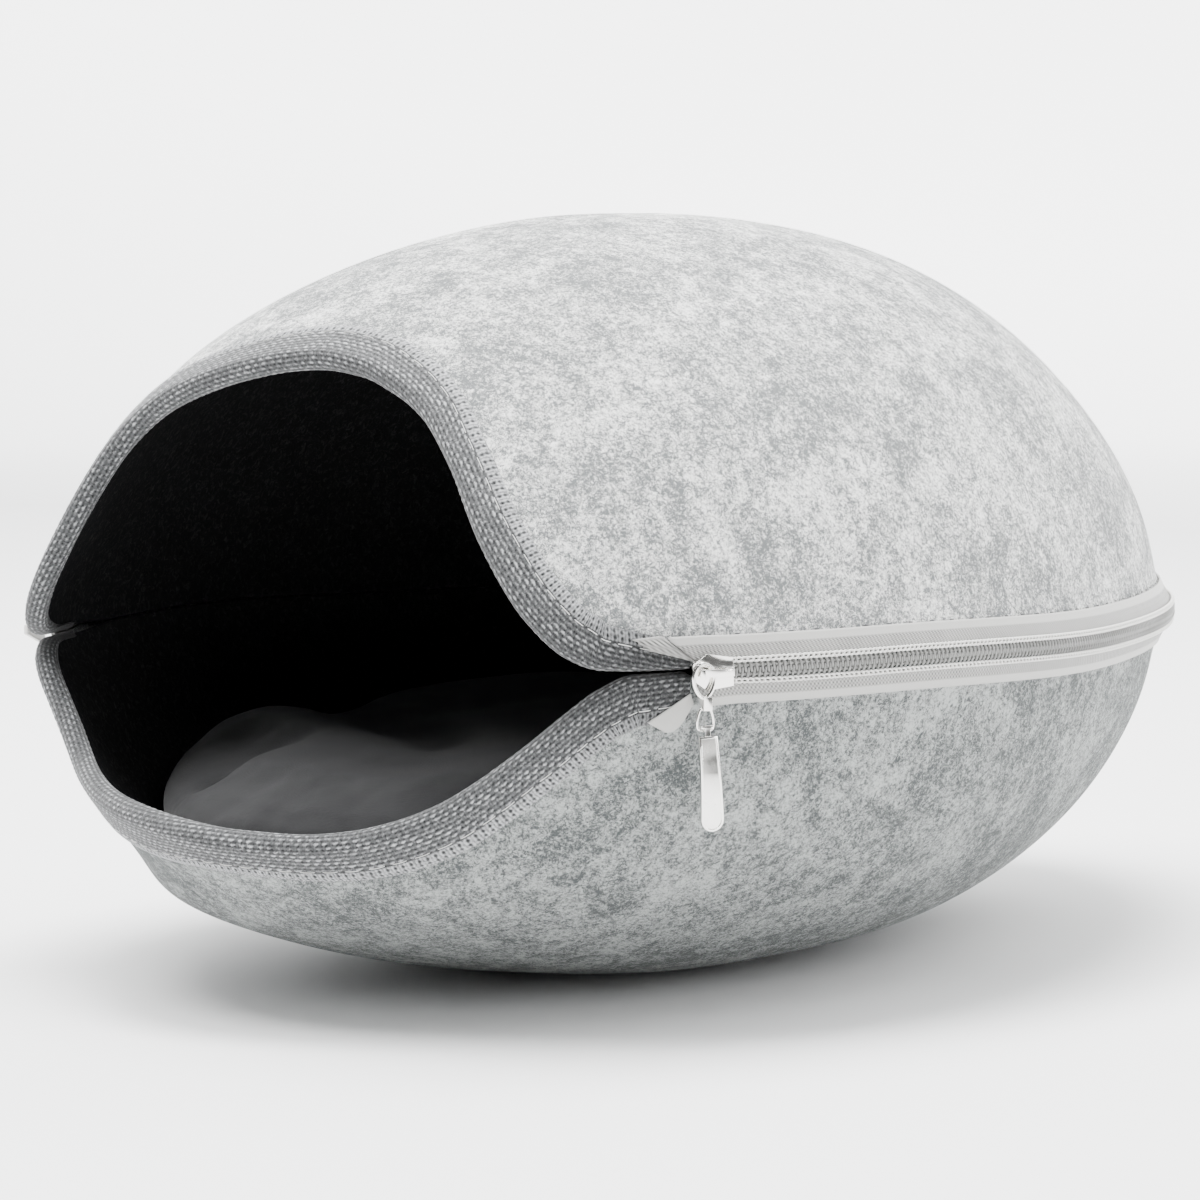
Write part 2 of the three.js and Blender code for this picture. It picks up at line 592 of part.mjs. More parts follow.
const feltOffsets = [0, -feltThickness];
const liningOffsets = [-feltThickness - clear, -feltThickness - clear - liningThickness];
addPiece(eggGroup, 'upper_felt', halfSheet(1, edgeRows, feltOffsets), looks.felt);
addPiece(eggGroup, 'lower_felt', halfSheet(-1, edgeRows, feltOffsets), looks.felt);
addPiece(eggGroup, 'upper_lining', halfSheet(1, liningRows, liningOffsets), looks.lining);
addPiece(eggGroup, 'lower_lining', halfSheet(-1, liningRows, liningOffsets), looks.lining);
addPiece(eggGroup, 'upper_binding', bindingSheet(1), looks.binding);
addPiece(eggGroup, 'lower_binding', bindingSheet(-1), looks.binding);
addPiece(eggGroup, 'zip_tape_upper', tapeSheet(1), looks.tape);
addPiece(eggGroup, 'zip_tape_lower', tapeSheet(-1), looks.tape);
addPiece(eggGroup, 'zip_coil', coilSheet(), looks.coil);
addPiece(eggGroup, 'far_zip_end', farZipEnd(), looks.zipEnd);
addPiece(eggGroup, 'cushion', cushionSolid(), looks.plush);

// The slider's axes stand on the outer face where the zip passes under it
const pull = new THREE.Group();
const sliderClimb = heightClimb(seamHeight(slider.turn));
const sliderFoot = facePoint(slider.turn, sliderClimb, 0);
const outward = facePoint(slider.turn, sliderClimb, 1).sub(sliderFoot).setZ(0).normalize();
const upward = new THREE.Vector3(0, 0, 1);
const pullAxes = new THREE.Matrix4().makeBasis(upward.clone().cross(outward), upward, outward);
pull.quaternion.setFromRotationMatrix(pullAxes);
pull.position.copy(sliderFoot);
eggGroup.add(pull);
addPiece(pull, 'slider', sliderBody(), looks.nickel);
addPiece(pull, 'pull_ring', pullRing(), looks.nickel);
addPiece(pull, 'pull_link', pullLink(), looks.nickel);
addPiece(pull, 'pull_tab', pullTab(), looks.nickel);

// The part stands with the middle of its bounding box over the origin
bed.updateMatrixWorld(true);
const extent = new THREE.Box3().setFromObject(bed, true);
eggGroup.position.set(-(extent.min.x + extent.max.x) / 2, -(extent.min.y + extent.max.y) / 2, -extent.min.z);

export default bed;
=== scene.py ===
# Egg-shaped felt cave bed for a pet: felt halves, lining, bound mouth, zip with its pull, plush cushion.
# Sizes of the bed are in millimetres. A place on the egg is given by its turn in degrees, 0 at the
# mouth and 90 on the right side, and by its height over the plane of the zip.
import math

import bmesh
import bpy
import numpy as np
from mathutils import Matrix, Vector


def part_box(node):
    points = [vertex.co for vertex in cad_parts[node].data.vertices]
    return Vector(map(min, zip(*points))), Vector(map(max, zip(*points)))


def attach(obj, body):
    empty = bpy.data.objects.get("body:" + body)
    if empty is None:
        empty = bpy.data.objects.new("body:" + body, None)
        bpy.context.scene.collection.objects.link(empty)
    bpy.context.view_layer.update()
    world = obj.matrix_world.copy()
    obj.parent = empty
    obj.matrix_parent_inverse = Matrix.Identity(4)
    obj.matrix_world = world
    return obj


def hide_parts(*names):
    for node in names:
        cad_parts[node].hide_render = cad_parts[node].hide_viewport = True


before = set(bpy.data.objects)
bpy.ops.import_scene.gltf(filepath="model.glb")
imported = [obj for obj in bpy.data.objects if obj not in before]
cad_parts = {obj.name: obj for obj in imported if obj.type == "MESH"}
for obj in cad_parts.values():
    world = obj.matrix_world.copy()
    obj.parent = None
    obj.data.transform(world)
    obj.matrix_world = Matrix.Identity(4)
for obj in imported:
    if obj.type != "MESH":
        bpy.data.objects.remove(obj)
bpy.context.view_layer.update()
print("CAD frame loaded")

# The egg, as in the CAD model
egg = {
    "halfWidth": 172.5,
    "halfLength": 250.0,
    "taper": 0.118,
    "bow": 1.05,
    "upper": {"reach": 147.5, "flat": 1.84, "round": 2.12},
    "lower": {"reach": 121.0, "flat": 1.95, "round": 2.71},
    "centre": (0.101, -13.126, 119.0),
}
seam = {"front": 1.8, "back": -1.3, "sinksFrom": 70, "sinksTo": 105, "halfGap": 1.9}
ridge = {"height": 4.5, "width": 8, "startsAt": 46, "fullAt": 62}
lipDip = {"depth": 5, "turn": 33, "spread": 16, "deepest": 35}
# turn, height, spread in turn and in height, and how far the felt stands out and up there
unevenPlaces = {
    "besideMouth": (-45, 50, 24, 38, -4, 0),
    "farCorner": (-50, 10, 20, 26, 6.5, -4.6),
    "underCorner": (-50, -28, 20, 28, -2, 0),
    "underLip": (-35, -62, 22, 16, -3, 0),
    "belly": (-30, -89, 30, 12, 6.5, 0),
}
wall = {"felt": 3.5, "lining": 1.0, "clear": 0.3}
mouth = {
    "turn": [-52.4, -48, -45, -42.5, -38.7, -34.4, -30, -25, -20, -13.5, -6.5, 0, 6.5, 13.5, 20, 25, 30,
             34.4, 38.7, 42.5, 45, 48, 52.4],
    "rise": [2, 2.1, 2.8, 6.4, 19.2, 41.5, 64.5, 78.5, 85.5, 91.2, 95.6, 98.2, 99, 97, 91.2, 83.2, 66.8,
             42, 19.2, 6.4, 2.8, 2.1, 2],
    "drop": [-1.6, -1.5, 2.6, 9, 20.5, 31.2, 38.5, 42.5, 45.5, 48.3, 50.8, 52.8, 54.3, 54.6, 52.6, 48.7,
             42.4, 33.9, 22.9, 11, 3.6, -1.2, -1.6],
    "riseTape": [9, 12.5, 14, 15.5, 14.5, 13, 14, 16, 17, 17.5, 17.5, 17.5, 18, 17.5, 16.5, 15, 13.6,
                 15, 16, 16, 14.5, 12.5, 9],
    "dropTape": [15, 16.5, 17, 17, 17.5, 18.5, 19, 19.5, 20, 20, 19, 17.3, 16.2, 16.2, 16.8, 17, 16.9,
                 16.1, 15.5, 15.5, 16, 16.2, 15],
    "end": 52.4,
    "fold": 1.7,
}


def mix(start, end, share):
    return start + (end - start) * share


def smoothStep(start, end, value):
    share = np.clip((value - start) / (end - start), 0, 1)
    return share * share * (3 - 2 * share)


def mouthRow(column, turn):
    # smooth curve through the table that never overshoots
    turns = np.array(mouth["turn"], float)
    values = np.array(mouth[column], float)
    grades = np.diff(values) / np.diff(turns)
    slopes = np.zeros(len(turns))
    before, after = grades[:-1], grades[1:]
    steady = before * after > 0
    slopes[1:-1][steady] = 2 * before[steady] * after[steady] / (before + after)[steady]
    at = np.clip(turn, turns[0], turns[-1])
    k = np.clip(np.searchsorted(turns, at), 1, len(turns) - 1)
    span = turns[k] - turns[k - 1]
    u = (at - turns[k - 1]) / span
    straight = mix(values[k - 1], values[k], u * u * (3 - 2 * u))
    return straight + span * (slopes[k - 1] * u * (1 - u) ** 2 - slopes[k] * u * u * (1 - u))


def wrapped(turn):
    return (np.asarray(turn, float) + 180) % 360 - 180


def seamHeight(turn):
    return mix(seam["front"], seam["back"], smoothStep(seam["sinksFrom"], seam["sinksTo"], np.abs(turn)))


def planOutline(turn):
    angle = np.radians(turn)
    along = -np.sign(np.cos(angle)) * np.abs(np.cos(angle)) ** egg["bow"]
    side = np.sign(np.sin(angle)) * np.abs(np.sin(angle)) ** egg["bow"]
    return np.stack([egg["halfWidth"] * side * (1 - egg["taper"] * along), egg["halfLength"] * along], -1)


def shrinkAt(height):
    def half(values):
        rise = np.minimum(np.abs(height) / values["reach"], 1)
        return (1 - rise ** values["flat"]) ** (1 / values["round"])
    return np.where(height >= 0, half(egg["upper"]), half(egg["lower"]))


def bareFace(turn, height, inside):
    plan = planOutline(turn)
    outward = plan / np.array([egg["halfWidth"] ** 2, egg["halfLength"] ** 2])
    outward = outward / np.linalg.norm(outward, axis=-1, keepdims=True)
    behindMouth = smoothStep(ridge["startsAt"], ridge["fullAt"], np.abs(turn))
    swell = ridge["height"] * behindMouth * np.exp(-((height - seamHeight(turn)) / ridge["width"]) ** 2)
    besideLip = np.exp(-(((np.abs(turn) - lipDip["turn"]) / lipDip["spread"]) ** 2))
    belowSeam = np.minimum(height / lipDip["deepest"], 0) ** 2
    dip = lipDip["depth"] * besideLip * belowSeam * np.exp(1 - belowSeam)
    stand = np.where(inside, 0, swell) - dip
    level = height
    for atTurn, atHeight, turnSpread, heightSpread, out, up in unevenPlaces.values():
        share = np.exp(-(((turn - atTurn) / turnSpread) ** 2) - ((height - atHeight) / heightSpread) ** 2)
        stand = stand + out * share
        level = level + up * share
    plan = plan * shrinkAt(height)[..., None] + outward * stand[..., None]
    return np.concatenate([plan, np.maximum(level, -egg["centre"][2])[..., None]], -1)


def climbHeight(climb):
    reach = np.where(climb >= 0, egg["upper"]["reach"], egg["lower"]["reach"])
    return reach * np.sin(np.radians(climb))


def heightClimb(height):
    reach = np.where(height >= 0, egg["upper"]["reach"], egg["lower"]["reach"])
    return np.degrees(np.arcsin(np.clip(height / reach, -1, 1)))


def faceAt(turn, climb, off, inside=None):
    turn, climb, off = np.broadcast_arrays(wrapped(turn), np.asarray(climb, float), np.asarray(off, float))
    inside = off < 0 if inside is None else inside
    step = 0.05
    bare = lambda atTurn, atClimb: bareFace(wrapped(atTurn), climbHeight(atClimb), inside)
    around = bare(turn + step, climb) - bare(turn - step, climb)
    up = bare(turn, np.minimum(climb + step, 90)) - bare(turn, np.maximum(climb - step, -90))
    normal = np.cross(around, up)
    normal /= np.maximum(np.linalg.norm(normal, axis=-1, keepdims=True), 1e-9)
    return bare(turn, climb) + normal * off[..., None]


def onFace(turn, height, off):
    return faceAt(turn, heightClimb(np.asarray(height, float)), off)


def edgeHeight(turn, side):
    edge = mouthRow("rise", turn) if side > 0 else -mouthRow("drop", turn)
    behind = seamHeight(turn) + side * (seam["halfGap"] - mouth["fold"])
    return np.where(np.abs(turn) <= mouth["end"], edge, behind)


def intoFelt(turn, side):
    # change of turn and height for one millimetre square to the edge
    turn = np.asarray(turn, float)
    step = 0.4
    height = edgeHeight(turn, side)
    here = bareFace(turn, height, False)
    alongEdge = bareFace(turn + step, edgeHeight(turn + step, side), False)
    alongEdge = alongEdge - bareFace(turn - step, edgeHeight(turn - step, side), False)
    perTurn = (bareFace(turn + step, height, False) - here) / step
    perHeight = (bareFace(turn, height + step, False) - here) / step
    square = np.cross(np.cross(perTurn, perHeight), alongEdge)
    square *= (np.sign(square[..., 2]) * side / np.linalg.norm(square, axis=-1))[..., None]
    dot = lambda first, second: np.sum(first * second, axis=-1)
    a, b, c = dot(perTurn, perTurn), dot(perTurn, perHeight), dot(perHeight, perHeight)
    p, q = dot(perTurn, square), dot(perHeight, square)
    return (p * c - q * b) / (a * c - b * b), (q * a - p * b) / (a * c - b * b)


def nearEdge(turn, side, distance, off):
    turnStep, heightStep = intoFelt(turn, side)
    height = edgeHeight(turn, side) + heightStep * distance
    return faceAt(turn + turnStep * distance, heightClimb(height), off)


def placed(points):
    return (np.asarray(points) + np.array(egg["centre"])) * 0.001


def edgeTurns(side, turns):
    # length along the edge of the mouth or the seam at each of the turns
    points = nearEdge(turns, side, 0.0, np.zeros_like(turns))
    return np.concatenate([[0], np.cumsum(np.linalg.norm(np.diff(points, axis=0), axis=1))])


def finishPiece(name, mesh, material):
    piece = bpy.data.objects.new(name, mesh)
    bpy.context.scene.collection.objects.link(piece)
    mesh.materials.append(material)
    mesh.polygons.foreach_set("use_smooth", [True] * len(mesh.polygons))
    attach(piece, "root")
    return piece


def thicken(piece, thickness):
    solid = piece.modifiers.new("thickness", "SOLIDIFY")
    solid.thickness = thickness * 0.001
    solid.offset = -1


# A grid of columns and rows whose points are moved onto the bed. place(along, across) gives the
# points, their UVs in millimetres and any named values.
def gridMesh(name, columns, rows, place, capEnds=False):
    bm = bmesh.new()
    bmesh.ops.create_grid(bm, x_segments=columns, y_segments=rows, size=1)
    mesh = bpy.data.meshes.new(name)
    bm.to_mesh(mesh)
    bm.free()
    flat = np.empty(len(mesh.vertices) * 3)
    mesh.vertices.foreach_get("co", flat)
    along, across = (flat.reshape(-1, 3)[:, :2].T + 1) / 2
    points, uv, named = place(along, across)
    mesh.vertices.foreach_set("co", placed(points).ravel())
    corners = np.empty(len(mesh.loops), int)
    mesh.loops.foreach_get("vertex_index", corners)
    mesh.uv_layers.new(name="UVMap").data.foreach_set("uv", uv[corners].ravel())
    for key, values in named.items():
        mesh.attributes.new(key, "FLOAT", "POINT").data.foreach_set("value", values)
    bm = bmesh.new()
    bm.from_mesh(mesh)
    bmesh.ops.remove_doubles(bm, verts=bm.verts, dist=2e-6)
    if capEnds:
        bmesh.ops.holes_fill(bm, edges=[edge for edge in bm.edges if edge.is_boundary])
    bmesh.ops.recalc_face_normals(bm, faces=bm.faces)
    bm.to_mesh(mesh)
    bm.free()
    return mesh


def threadMesh(name, paths, radius, cyclic=False):
    # many short threads: each path is a list of points on the bed, in millimetres
    curve = bpy.data.curves.new(name, "CURVE")
    curve.dimensions = "3D"
    curve.bevel_depth = radius * 0.001
    curve.bevel_resolution = 1
    curve.use_fill_caps = not cyclic
    for path in paths:
        spline = curve.splines.new("POLY")
        spline.points.add(len(path) - 1)
        spline.points.foreach_set("co", np.column_stack([placed(path), np.ones(len(path))]).ravel())
        spline.use_cyclic_u = cyclic
    holder = bpy.data.objects.new(name, curve)
    bpy.context.scene.collection.objects.link(holder)
    mesh = bpy.data.meshes.new_from_object(holder.evaluated_get(bpy.context.evaluated_depsgraph_get()))
    bpy.data.objects.remove(holder)
    mesh.name = name
    return mesh


def newMaterial(name, **values):
    material = bpy.data.materials.new(name)
    material.use_nodes = True
    shader = material.node_tree.nodes["Principled BSDF"]
    for socket, value in values.items():
        shader.inputs[socket.replace("_", " ")].default_value = value
    return material, material.node_tree, shader


def addNode(tree, kind, inputs=None, **settings):
    node = tree.nodes.new(kind)
    for key, value in settings.items():
        setattr(node, key, value)
    for key, value in (inputs or {}).items():
        if isinstance(value, bpy.types.NodeSocket):
            tree.links.new(value, node.inputs[key])
        else:
            node.inputs[key].default_value = value
    return node


def objectPlace(tree, scale=(1, 1, 1)):
    place = addNode(tree, "ShaderNodeTexCoord").outputs["Object"]
    return addNode(tree, "ShaderNodeMapping", {"Vector": place, "Scale": scale}).outputs["Vector"]


def noise(tree, place, scale, detail=2.0, roughness=0.5, distortion=0.0):
    inputs = {"Vector": place, "Scale": scale, "Detail": detail, "Roughness": roughness,
              "Distortion": distortion}
    return addNode(tree, "ShaderNodeTexNoise", inputs).outputs["Fac"]


def spread(tree, value, low, high, start=0.0, end=1.0):
    inputs = {"Value": value, "From Min": low, "From Max": high, "To Min": start, "To Max": end}
    return addNode(tree, "ShaderNodeMapRange", inputs).outputs["Result"]


def calc(tree, operation, first, second=0.0):
    return addNode(tree, "ShaderNodeMath", {0: first, 1: second}, operation=operation).outputs["Value"]


def blendColours(tree, share, first, second):
    node = addNode(tree, "ShaderNodeMix", {0: share}, data_type="RGBA")
    for socket, colour in ((node.inputs[6], first), (node.inputs[7], second)):
        if isinstance(colour, bpy.types.NodeSocket):
            tree.links.new(colour, socket)
        else:
            socket.default_value = (*colour, 1)
    return node.outputs[2]


def bump(tree, shader, height, distance, strength):
    inputs = {"Height": height, "Distance": distance * 0.001, "Strength": strength}
    tree.links.new(addNode(tree, "ShaderNodeBump", inputs).outputs["Normal"], shader.inputs["Normal"])


# Needled felt: pale wool with dark hairs that gather in soft clumps. Each layer of the melange has
# its number to the metre and how much it darkens. Hairs have their number to the metre, their width,
# weight and bend, and whether they darken or lighten.
feltLook = {
    "wool": (0.89, 0.89, 0.87),
    "dark": (0.14, 0.149, 0.151),
    "upper": 0.68,
    "lower": 0.58,
    # painted shade: the lower half's felt is drawn at under half the brightness of the upper half, with a
    # slight cool cast
    "lowerPaintedShade": (0.435, 0.455, 0.453),
    "bump": 0.6,
}
melange = {"patches": (26, 0.52), "clumps": (95, 0.50), "curls": (260, 0.62), "flecks": (900, 1.05)}
hairLook = {
    "dark": (320, 0.030, 0.42, 1.8, "ADD"),
    "fine": (620, 0.040, 0.36, 1.8, "ADD"),
    "pale": (420, 0.045, 0.62, 2.2, "SUBTRACT"),
}


def hairs(tree, place, scale, width, bend):
    # thin wandering lines, 1 in the middle of a hair
    field = noise(tree, place, scale, 3, 0.55, bend)
    away = calc(tree, "ABSOLUTE", calc(tree, "SUBTRACT", field, 0.5))
    return spread(tree, away, 0.0, width, 1, 0)


def feltMaterial(name, darkness, tintAndPaintedLight=(1, 1, 1)):
    material, tree, shader = newMaterial(name, Roughness=1.0, Specular_IOR_Level=0.1, Sheen_Weight=0.12,
                                         Sheen_Roughness=0.6)
    place = objectPlace(tree)
    share = darkness
    for number, weight in melange.values():
        wool = noise(tree, place, number, 3, 0.62, 0.7)
        layer = spread(tree, wool, 0.33, 0.67, -0.5 * weight, 0.5 * weight)
        share = calc(tree, "ADD", share, layer)
    for scale, width, weight, bend, operation in hairLook.values():
        layer = calc(tree, "MULTIPLY", hairs(tree, place, scale, width, bend), weight)
        share = calc(tree, operation, share, layer)
    softRange = {"Value": share, "From Min": -0.15, "From Max": 1.15}
    share = addNode(tree, "ShaderNodeMapRange", softRange, interpolation_type="SMOOTHSTEP").outputs["Result"]
    # the multiplier darkens both felt colours; for the lower half it is painted shade
    pale, dark = (tuple(np.multiply(feltLook[key], tintAndPaintedLight)) for key in ("wool", "dark"))
    tree.links.new(blendColours(tree, share, pale, dark), shader.inputs["Base Color"])
    bump(tree, shader, calc(tree, "MULTIPLY", share, -1.0), 0.35, feltLook["bump"])
    return material


upperFeltMaterial = feltMaterial("greyFeltUpper", feltLook["upper"])
# the lower half is a darker copy of the same felt: painted shade
lowerFeltPaintedShadeMaterial = feltMaterial("greyFeltLowerPaintedShade", feltLook["lower"], feltLook["lowerPaintedShade"])

feltShape = {"columns": 272, "rows": 84, "edgeReach": 18.0, "edgeShare": 0.22, "baseShare": 0.86, "sag": 0.35}


def halfPlace(side, offset, startsAt, wobble):
    lastClimb = 90.0 if side > 0 else float(heightClimb(-egg["centre"][2]))
    reach = feltShape["edgeReach"]

    def place(along, across):
        turn = along * 360 - 180
        turnStep, heightStep = intoFelt(turn, side)
        edgeStart = startsAt * smoothStep(62, 54, np.abs(turn))
        distance = np.minimum(mix(edgeStart, reach, across / feltShape["edgeShare"]), reach)
        dome = np.maximum((across - feltShape["edgeShare"]) / (1 - feltShape["edgeShare"]), 0)
        baseShare = 1.0 if side > 0 else feltShape["baseShare"]
        share = np.minimum(dome / baseShare, 1)
        edgeClimb = heightClimb(edgeHeight(turn, side) + heightStep * distance)
        atTurn = turn + turnStep * distance * (1 - share)
        climb = mix(edgeClimb, lastClimb, share)
        ripple = np.sin(atTurn * 0.11 + climb * 0.06) + np.sin(atTurn * 0.05 - climb * 0.13 + 2)
        off = offset + wobble * ripple * smoothStep(0, 0.25, share) * smoothStep(1.02, 0.8, share)
        points = faceAt(atTurn, climb, off, inside=offset < 0)
        if side < 0:  # the flat base runs in to its middle
            points[:, :2] *= (1 - np.maximum(dome - baseShare, 0) / (1 - baseShare))[:, None]
        else:
            points[share >= 1] = [0, 0, egg["upper"]["reach"] + offset]
        uv = np.stack([along * 1000, across * 300], -1)
        return points, uv, {}

    return place


def feltHalf(name, side, material):
    place = halfPlace(side, 0.0, mouth["fold"], feltShape["sag"])
    mesh = gridMesh(name, feltShape["columns"], feltShape["rows"], place)
    piece = finishPiece(name, mesh, material)
    thicken(piece, wall["felt"])
    return piece


upperFelt = feltHalf("upperFelt", 1, upperFeltMaterial)
lowerFelt = feltHalf("lowerFelt", -1, lowerFeltPaintedShadeMaterial)
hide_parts("upper_felt")
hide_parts("lower_felt")
print("felt halves made")

# Black lining felt inside both halves
liningLook = {"colour": (0.019, 0.019, 0.020), "fluff": (0.058, 0.058, 0.059), "fluffPerMetre": 500}
liningShape = {"columns": 144, "rows": 48}


def liningMaterial():
    material, tree, shader = newMaterial("blackLining", Roughness=1.0, Specular_IOR_Level=0.05)
    place = objectPlace(tree)
    fluff = noise(tree, place, liningLook["fluffPerMetre"], 4, 0.7, 1)
    share = spread(tree, fluff, 0.5, 0.75)
    colour = blendColours(tree, share, liningLook["colour"], liningLook["fluff"])
    tree.links.new(colour, shader.inputs["Base Color"])
    bump(tree, shader, fluff, 0.5, 0.3)
    return material


def liningHalf(name, side, material):
    place = halfPlace(side, -wall["felt"] - wall["clear"], mouth["fold"], 0.0)
    mesh = gridMesh(name, liningShape["columns"], liningShape["rows"], place)
    piece = finishPiece(name, mesh, material)
    thicken(piece, wall["lining"])
    return piece


blackLining = liningMaterial()
upperLining = liningHalf("upperLining", 1, blackLining)
lowerLining = liningHalf("lowerLining", -1, blackLining)
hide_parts("upper_lining")
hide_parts("lower_lining")
print("linings made")

# Knitted binding, folded over the edge. Its loops stand in rows along the tape.
knit = {
    "thickness": 1.4,
    "insideWidth": 7.0,
    "insideAtCorner": 3.4,
    "foldReach": 3.2,
    "rowHeight": 1.6,
    "loopPitch": 3.4,
    "relief": 0.36,
    "borderHoles": ((1.3, 2.65), (3.2, 2.65)),
    "borderTo": 4.3,
    "borderDrop": 0.9,
    "yarnPerMetre": 900,
    "columns": 1020,
    "outerRows": 88,
    "returnRows": 5,
    "dark": (0.006, 0.0063, 0.0066),
    "middle": (0.088, 0.090, 0.092),
    "light": (0.49, 0.498, 0.505),
    # brightness kept towards the corners of the mouth: painted shade
    "cornerPaintedShade": 0.45,
}
bindingWall = wall["felt"] + wall["clear"] + wall["lining"]
bindingOut = wall["clear"] + knit["thickness"]
bindingIn = -(bindingWall + wall["clear"] + knit["thickness"])
foldHalf = (bindingOut - bindingIn) / 2
foldLength = math.pi * math.sqrt((knit["foldReach"] ** 2 + foldHalf ** 2) / 2)


def bindingLength(width, insideWidth):
    return width + insideWidth - 2 * knit["foldReach"] + foldLength


def bindingSection(across, width, insideWidth):
    # distance into the felt, how far off its face, and length over the tape from its outer border
    outerShare = knit["outerRows"] / (knit["outerRows"] + knit["returnRows"])
    outside = width - knit["foldReach"]
    inside = insideWidth - knit["foldReach"]
    total = outside + foldLength + inside
    length = np.minimum(across / outerShare, 1) * total
    turnOver = np.clip((length - outside) / foldLength, 0, 1) * math.pi
    distance = knit["foldReach"] - knit["foldReach"] * np.sin(turnOver)
    distance = np.where(length < outside, width - length, distance)
    pastFold = knit["foldReach"] + length - outside - foldLength
    distance = np.where(length > outside + foldLength, pastFold, distance)
    off = (bindingOut + bindingIn) / 2 + foldHalf * np.cos(turnOver)
    border = knit["borderDrop"] * (1 - smoothStep(0, 2.5, np.minimum(length, total - length)))
    off = np.where(length < outside, bindingOut - border, off)
    off = np.where(length > outside + foldLength, bindingIn + border, off)
    back = np.clip((across - outerShare) / (1 - outerShare), 0, 1)
    backAt = [0, 0.1, 0.4, 0.5, 0.6, 0.9, 1]
    backDistance = np.interp(back, backAt, [1, 1, 0.1, 0, 0.1, 1, 1])
    half = np.where(back < 0.5, insideWidth, width)
    onLining = -bindingWall - wall["clear"]
    backOff = np.interp(back, backAt, [bindingIn + knit["borderDrop"], onLining, onLining, -bindingWall / 2,
                                       0.25, 0.25, bindingOut - knit["borderDrop"]])
    returning = across > outerShare
    distance = np.where(returning, mix(mouth["fold"] - 0.5, half, backDistance), distance)
    return distance, np.where(returning, backOff, off), np.where(returning, total, length), outside


def hump(distance):
    return 0.5 + 0.5 * np.cos(math.pi * np.clip(distance, -1, 1))


def knitLoops(along, over):
    # height of the yarn, 0 in a gap and 1 on top of a loop: dashes lie along each row like bricks. The
    # binding's colour follows it too, darkest in gaps, pits and holes, as painted shade
    row = np.floor(over / knit["rowHeight"])
    step = along / knit["loopPitch"] + 0.5 * (row % 2)
    step = step + 0.07 * np.sin(row * 2.3) + 0.1 * np.sin(0.9 * along + 1.9 * row)
    part = step % 1
    uneven = 0.85 + 0.15 * np.sin(37.1 * np.floor(step) + 11.3 * row)
    y = over / knit["rowHeight"] - row - 0.5 + 0.10 * np.sin(2 * math.pi * part)
    ridgeForm = 1 - 0.50 * np.clip(np.abs(2 * y), 0, 1) ** 2.2
    dash = smoothStep(0.0, 0.10, part) * smoothStep(0.66, 0.52, part) * np.exp(-(y / 0.27) ** 2)
    link = 0.60 + 0.08 * np.sin(8 * math.pi * part + 1.7 * row)
    body = mix(ridgeForm * link, uneven, dash)
    toPit = np.minimum(np.abs(part - 0.02), np.abs(part - 0.55)) * knit["loopPitch"]
    pit = hump(toPit / 0.65) * hump((0.5 - np.abs(y)) / 0.45)
    body = body * (1 - 0.92 * pit)
    # two rows of wider holes along the outer border
    hole = 0
    for at, pitch in knit["borderHoles"]:
        x = (along / pitch + at) % 1 - 0.5
        hole = np.maximum(hole, hump(np.hypot(x * pitch, (over - at) * 0.9) / 0.85))
    plain = 0.84 + 0.16 * np.cos(2 * math.pi * along / 1.325)
    border = plain * (1 - 0.95 * hole)
    return mix(border, body, smoothStep(knit["borderTo"] - 0.4, knit["borderTo"] + 0.4, over))


def bindingPlace(side):
    turns = np.linspace(-mouth["end"], mouth["end"], 2001)
    lengths = edgeTurns(side, turns)

    def place(along, across):
        turn = np.interp(along * lengths[-1], lengths, turns)
        width = mouthRow("riseTape" if side > 0 else "dropTape", turn)
        insideWidth = mix(knit["insideWidth"], knit["insideAtCorner"], smoothStep(-43, -50, turn))
        distance, off, over, outside = bindingSection(across, width, insideWidth)
        run = along * lengths[-1]
        loops = knitLoops(run, over)
        onFold = smoothStep(outside - 1.5, outside + 0.5, over)
        onFold = onFold * (1 - smoothStep(outside + 6, outside + 9, over))
        scallop = np.abs(np.sin(math.pi * run / knit["loopPitch"])) ** 0.6
        loops = loops * mix(1, 0.55 + 0.45 * scallop, 0.6 * onFold)
        # painted shade: at the far corner the knit on the fold and inside is drawn dark, as in its gaps, and
        # sunk a little deeper
        farCornerShade = smoothStep(-46.5, -49.5, turn) * smoothStep(outside - 1, outside + 2, over)
        loops = loops * (1 - 0.95 * farCornerShade)
        returning = across > knit["outerRows"] / (knit["outerRows"] + knit["returnRows"])
        fromBorder = np.minimum(over, bindingLength(width, insideWidth) - over)
        sink = knit["relief"] * (1 - loops) * smoothStep(0, 0.8, fromBorder)
        sink = np.where(returning, 0, sink)
        middleOff = (bindingOut + bindingIn) / 2
        fromFelt = np.clip((off - middleOff) / foldHalf, -1, 1)
        off = off - fromFelt * sink
        onFoldDepth = np.sqrt(np.maximum(1 - fromFelt ** 2, 0))
        distance = distance + np.where(returning, 0, onFoldDepth * sink * onFold)
        points = nearEdge(turn, side, distance, off)
        # painted shade: the knit is drawn darker towards both corners of the mouth
        corner = smoothStep(36, 50, np.abs(turn))
        return points, np.stack([run, over], -1), {"loops": loops, "corner": corner}

    return place


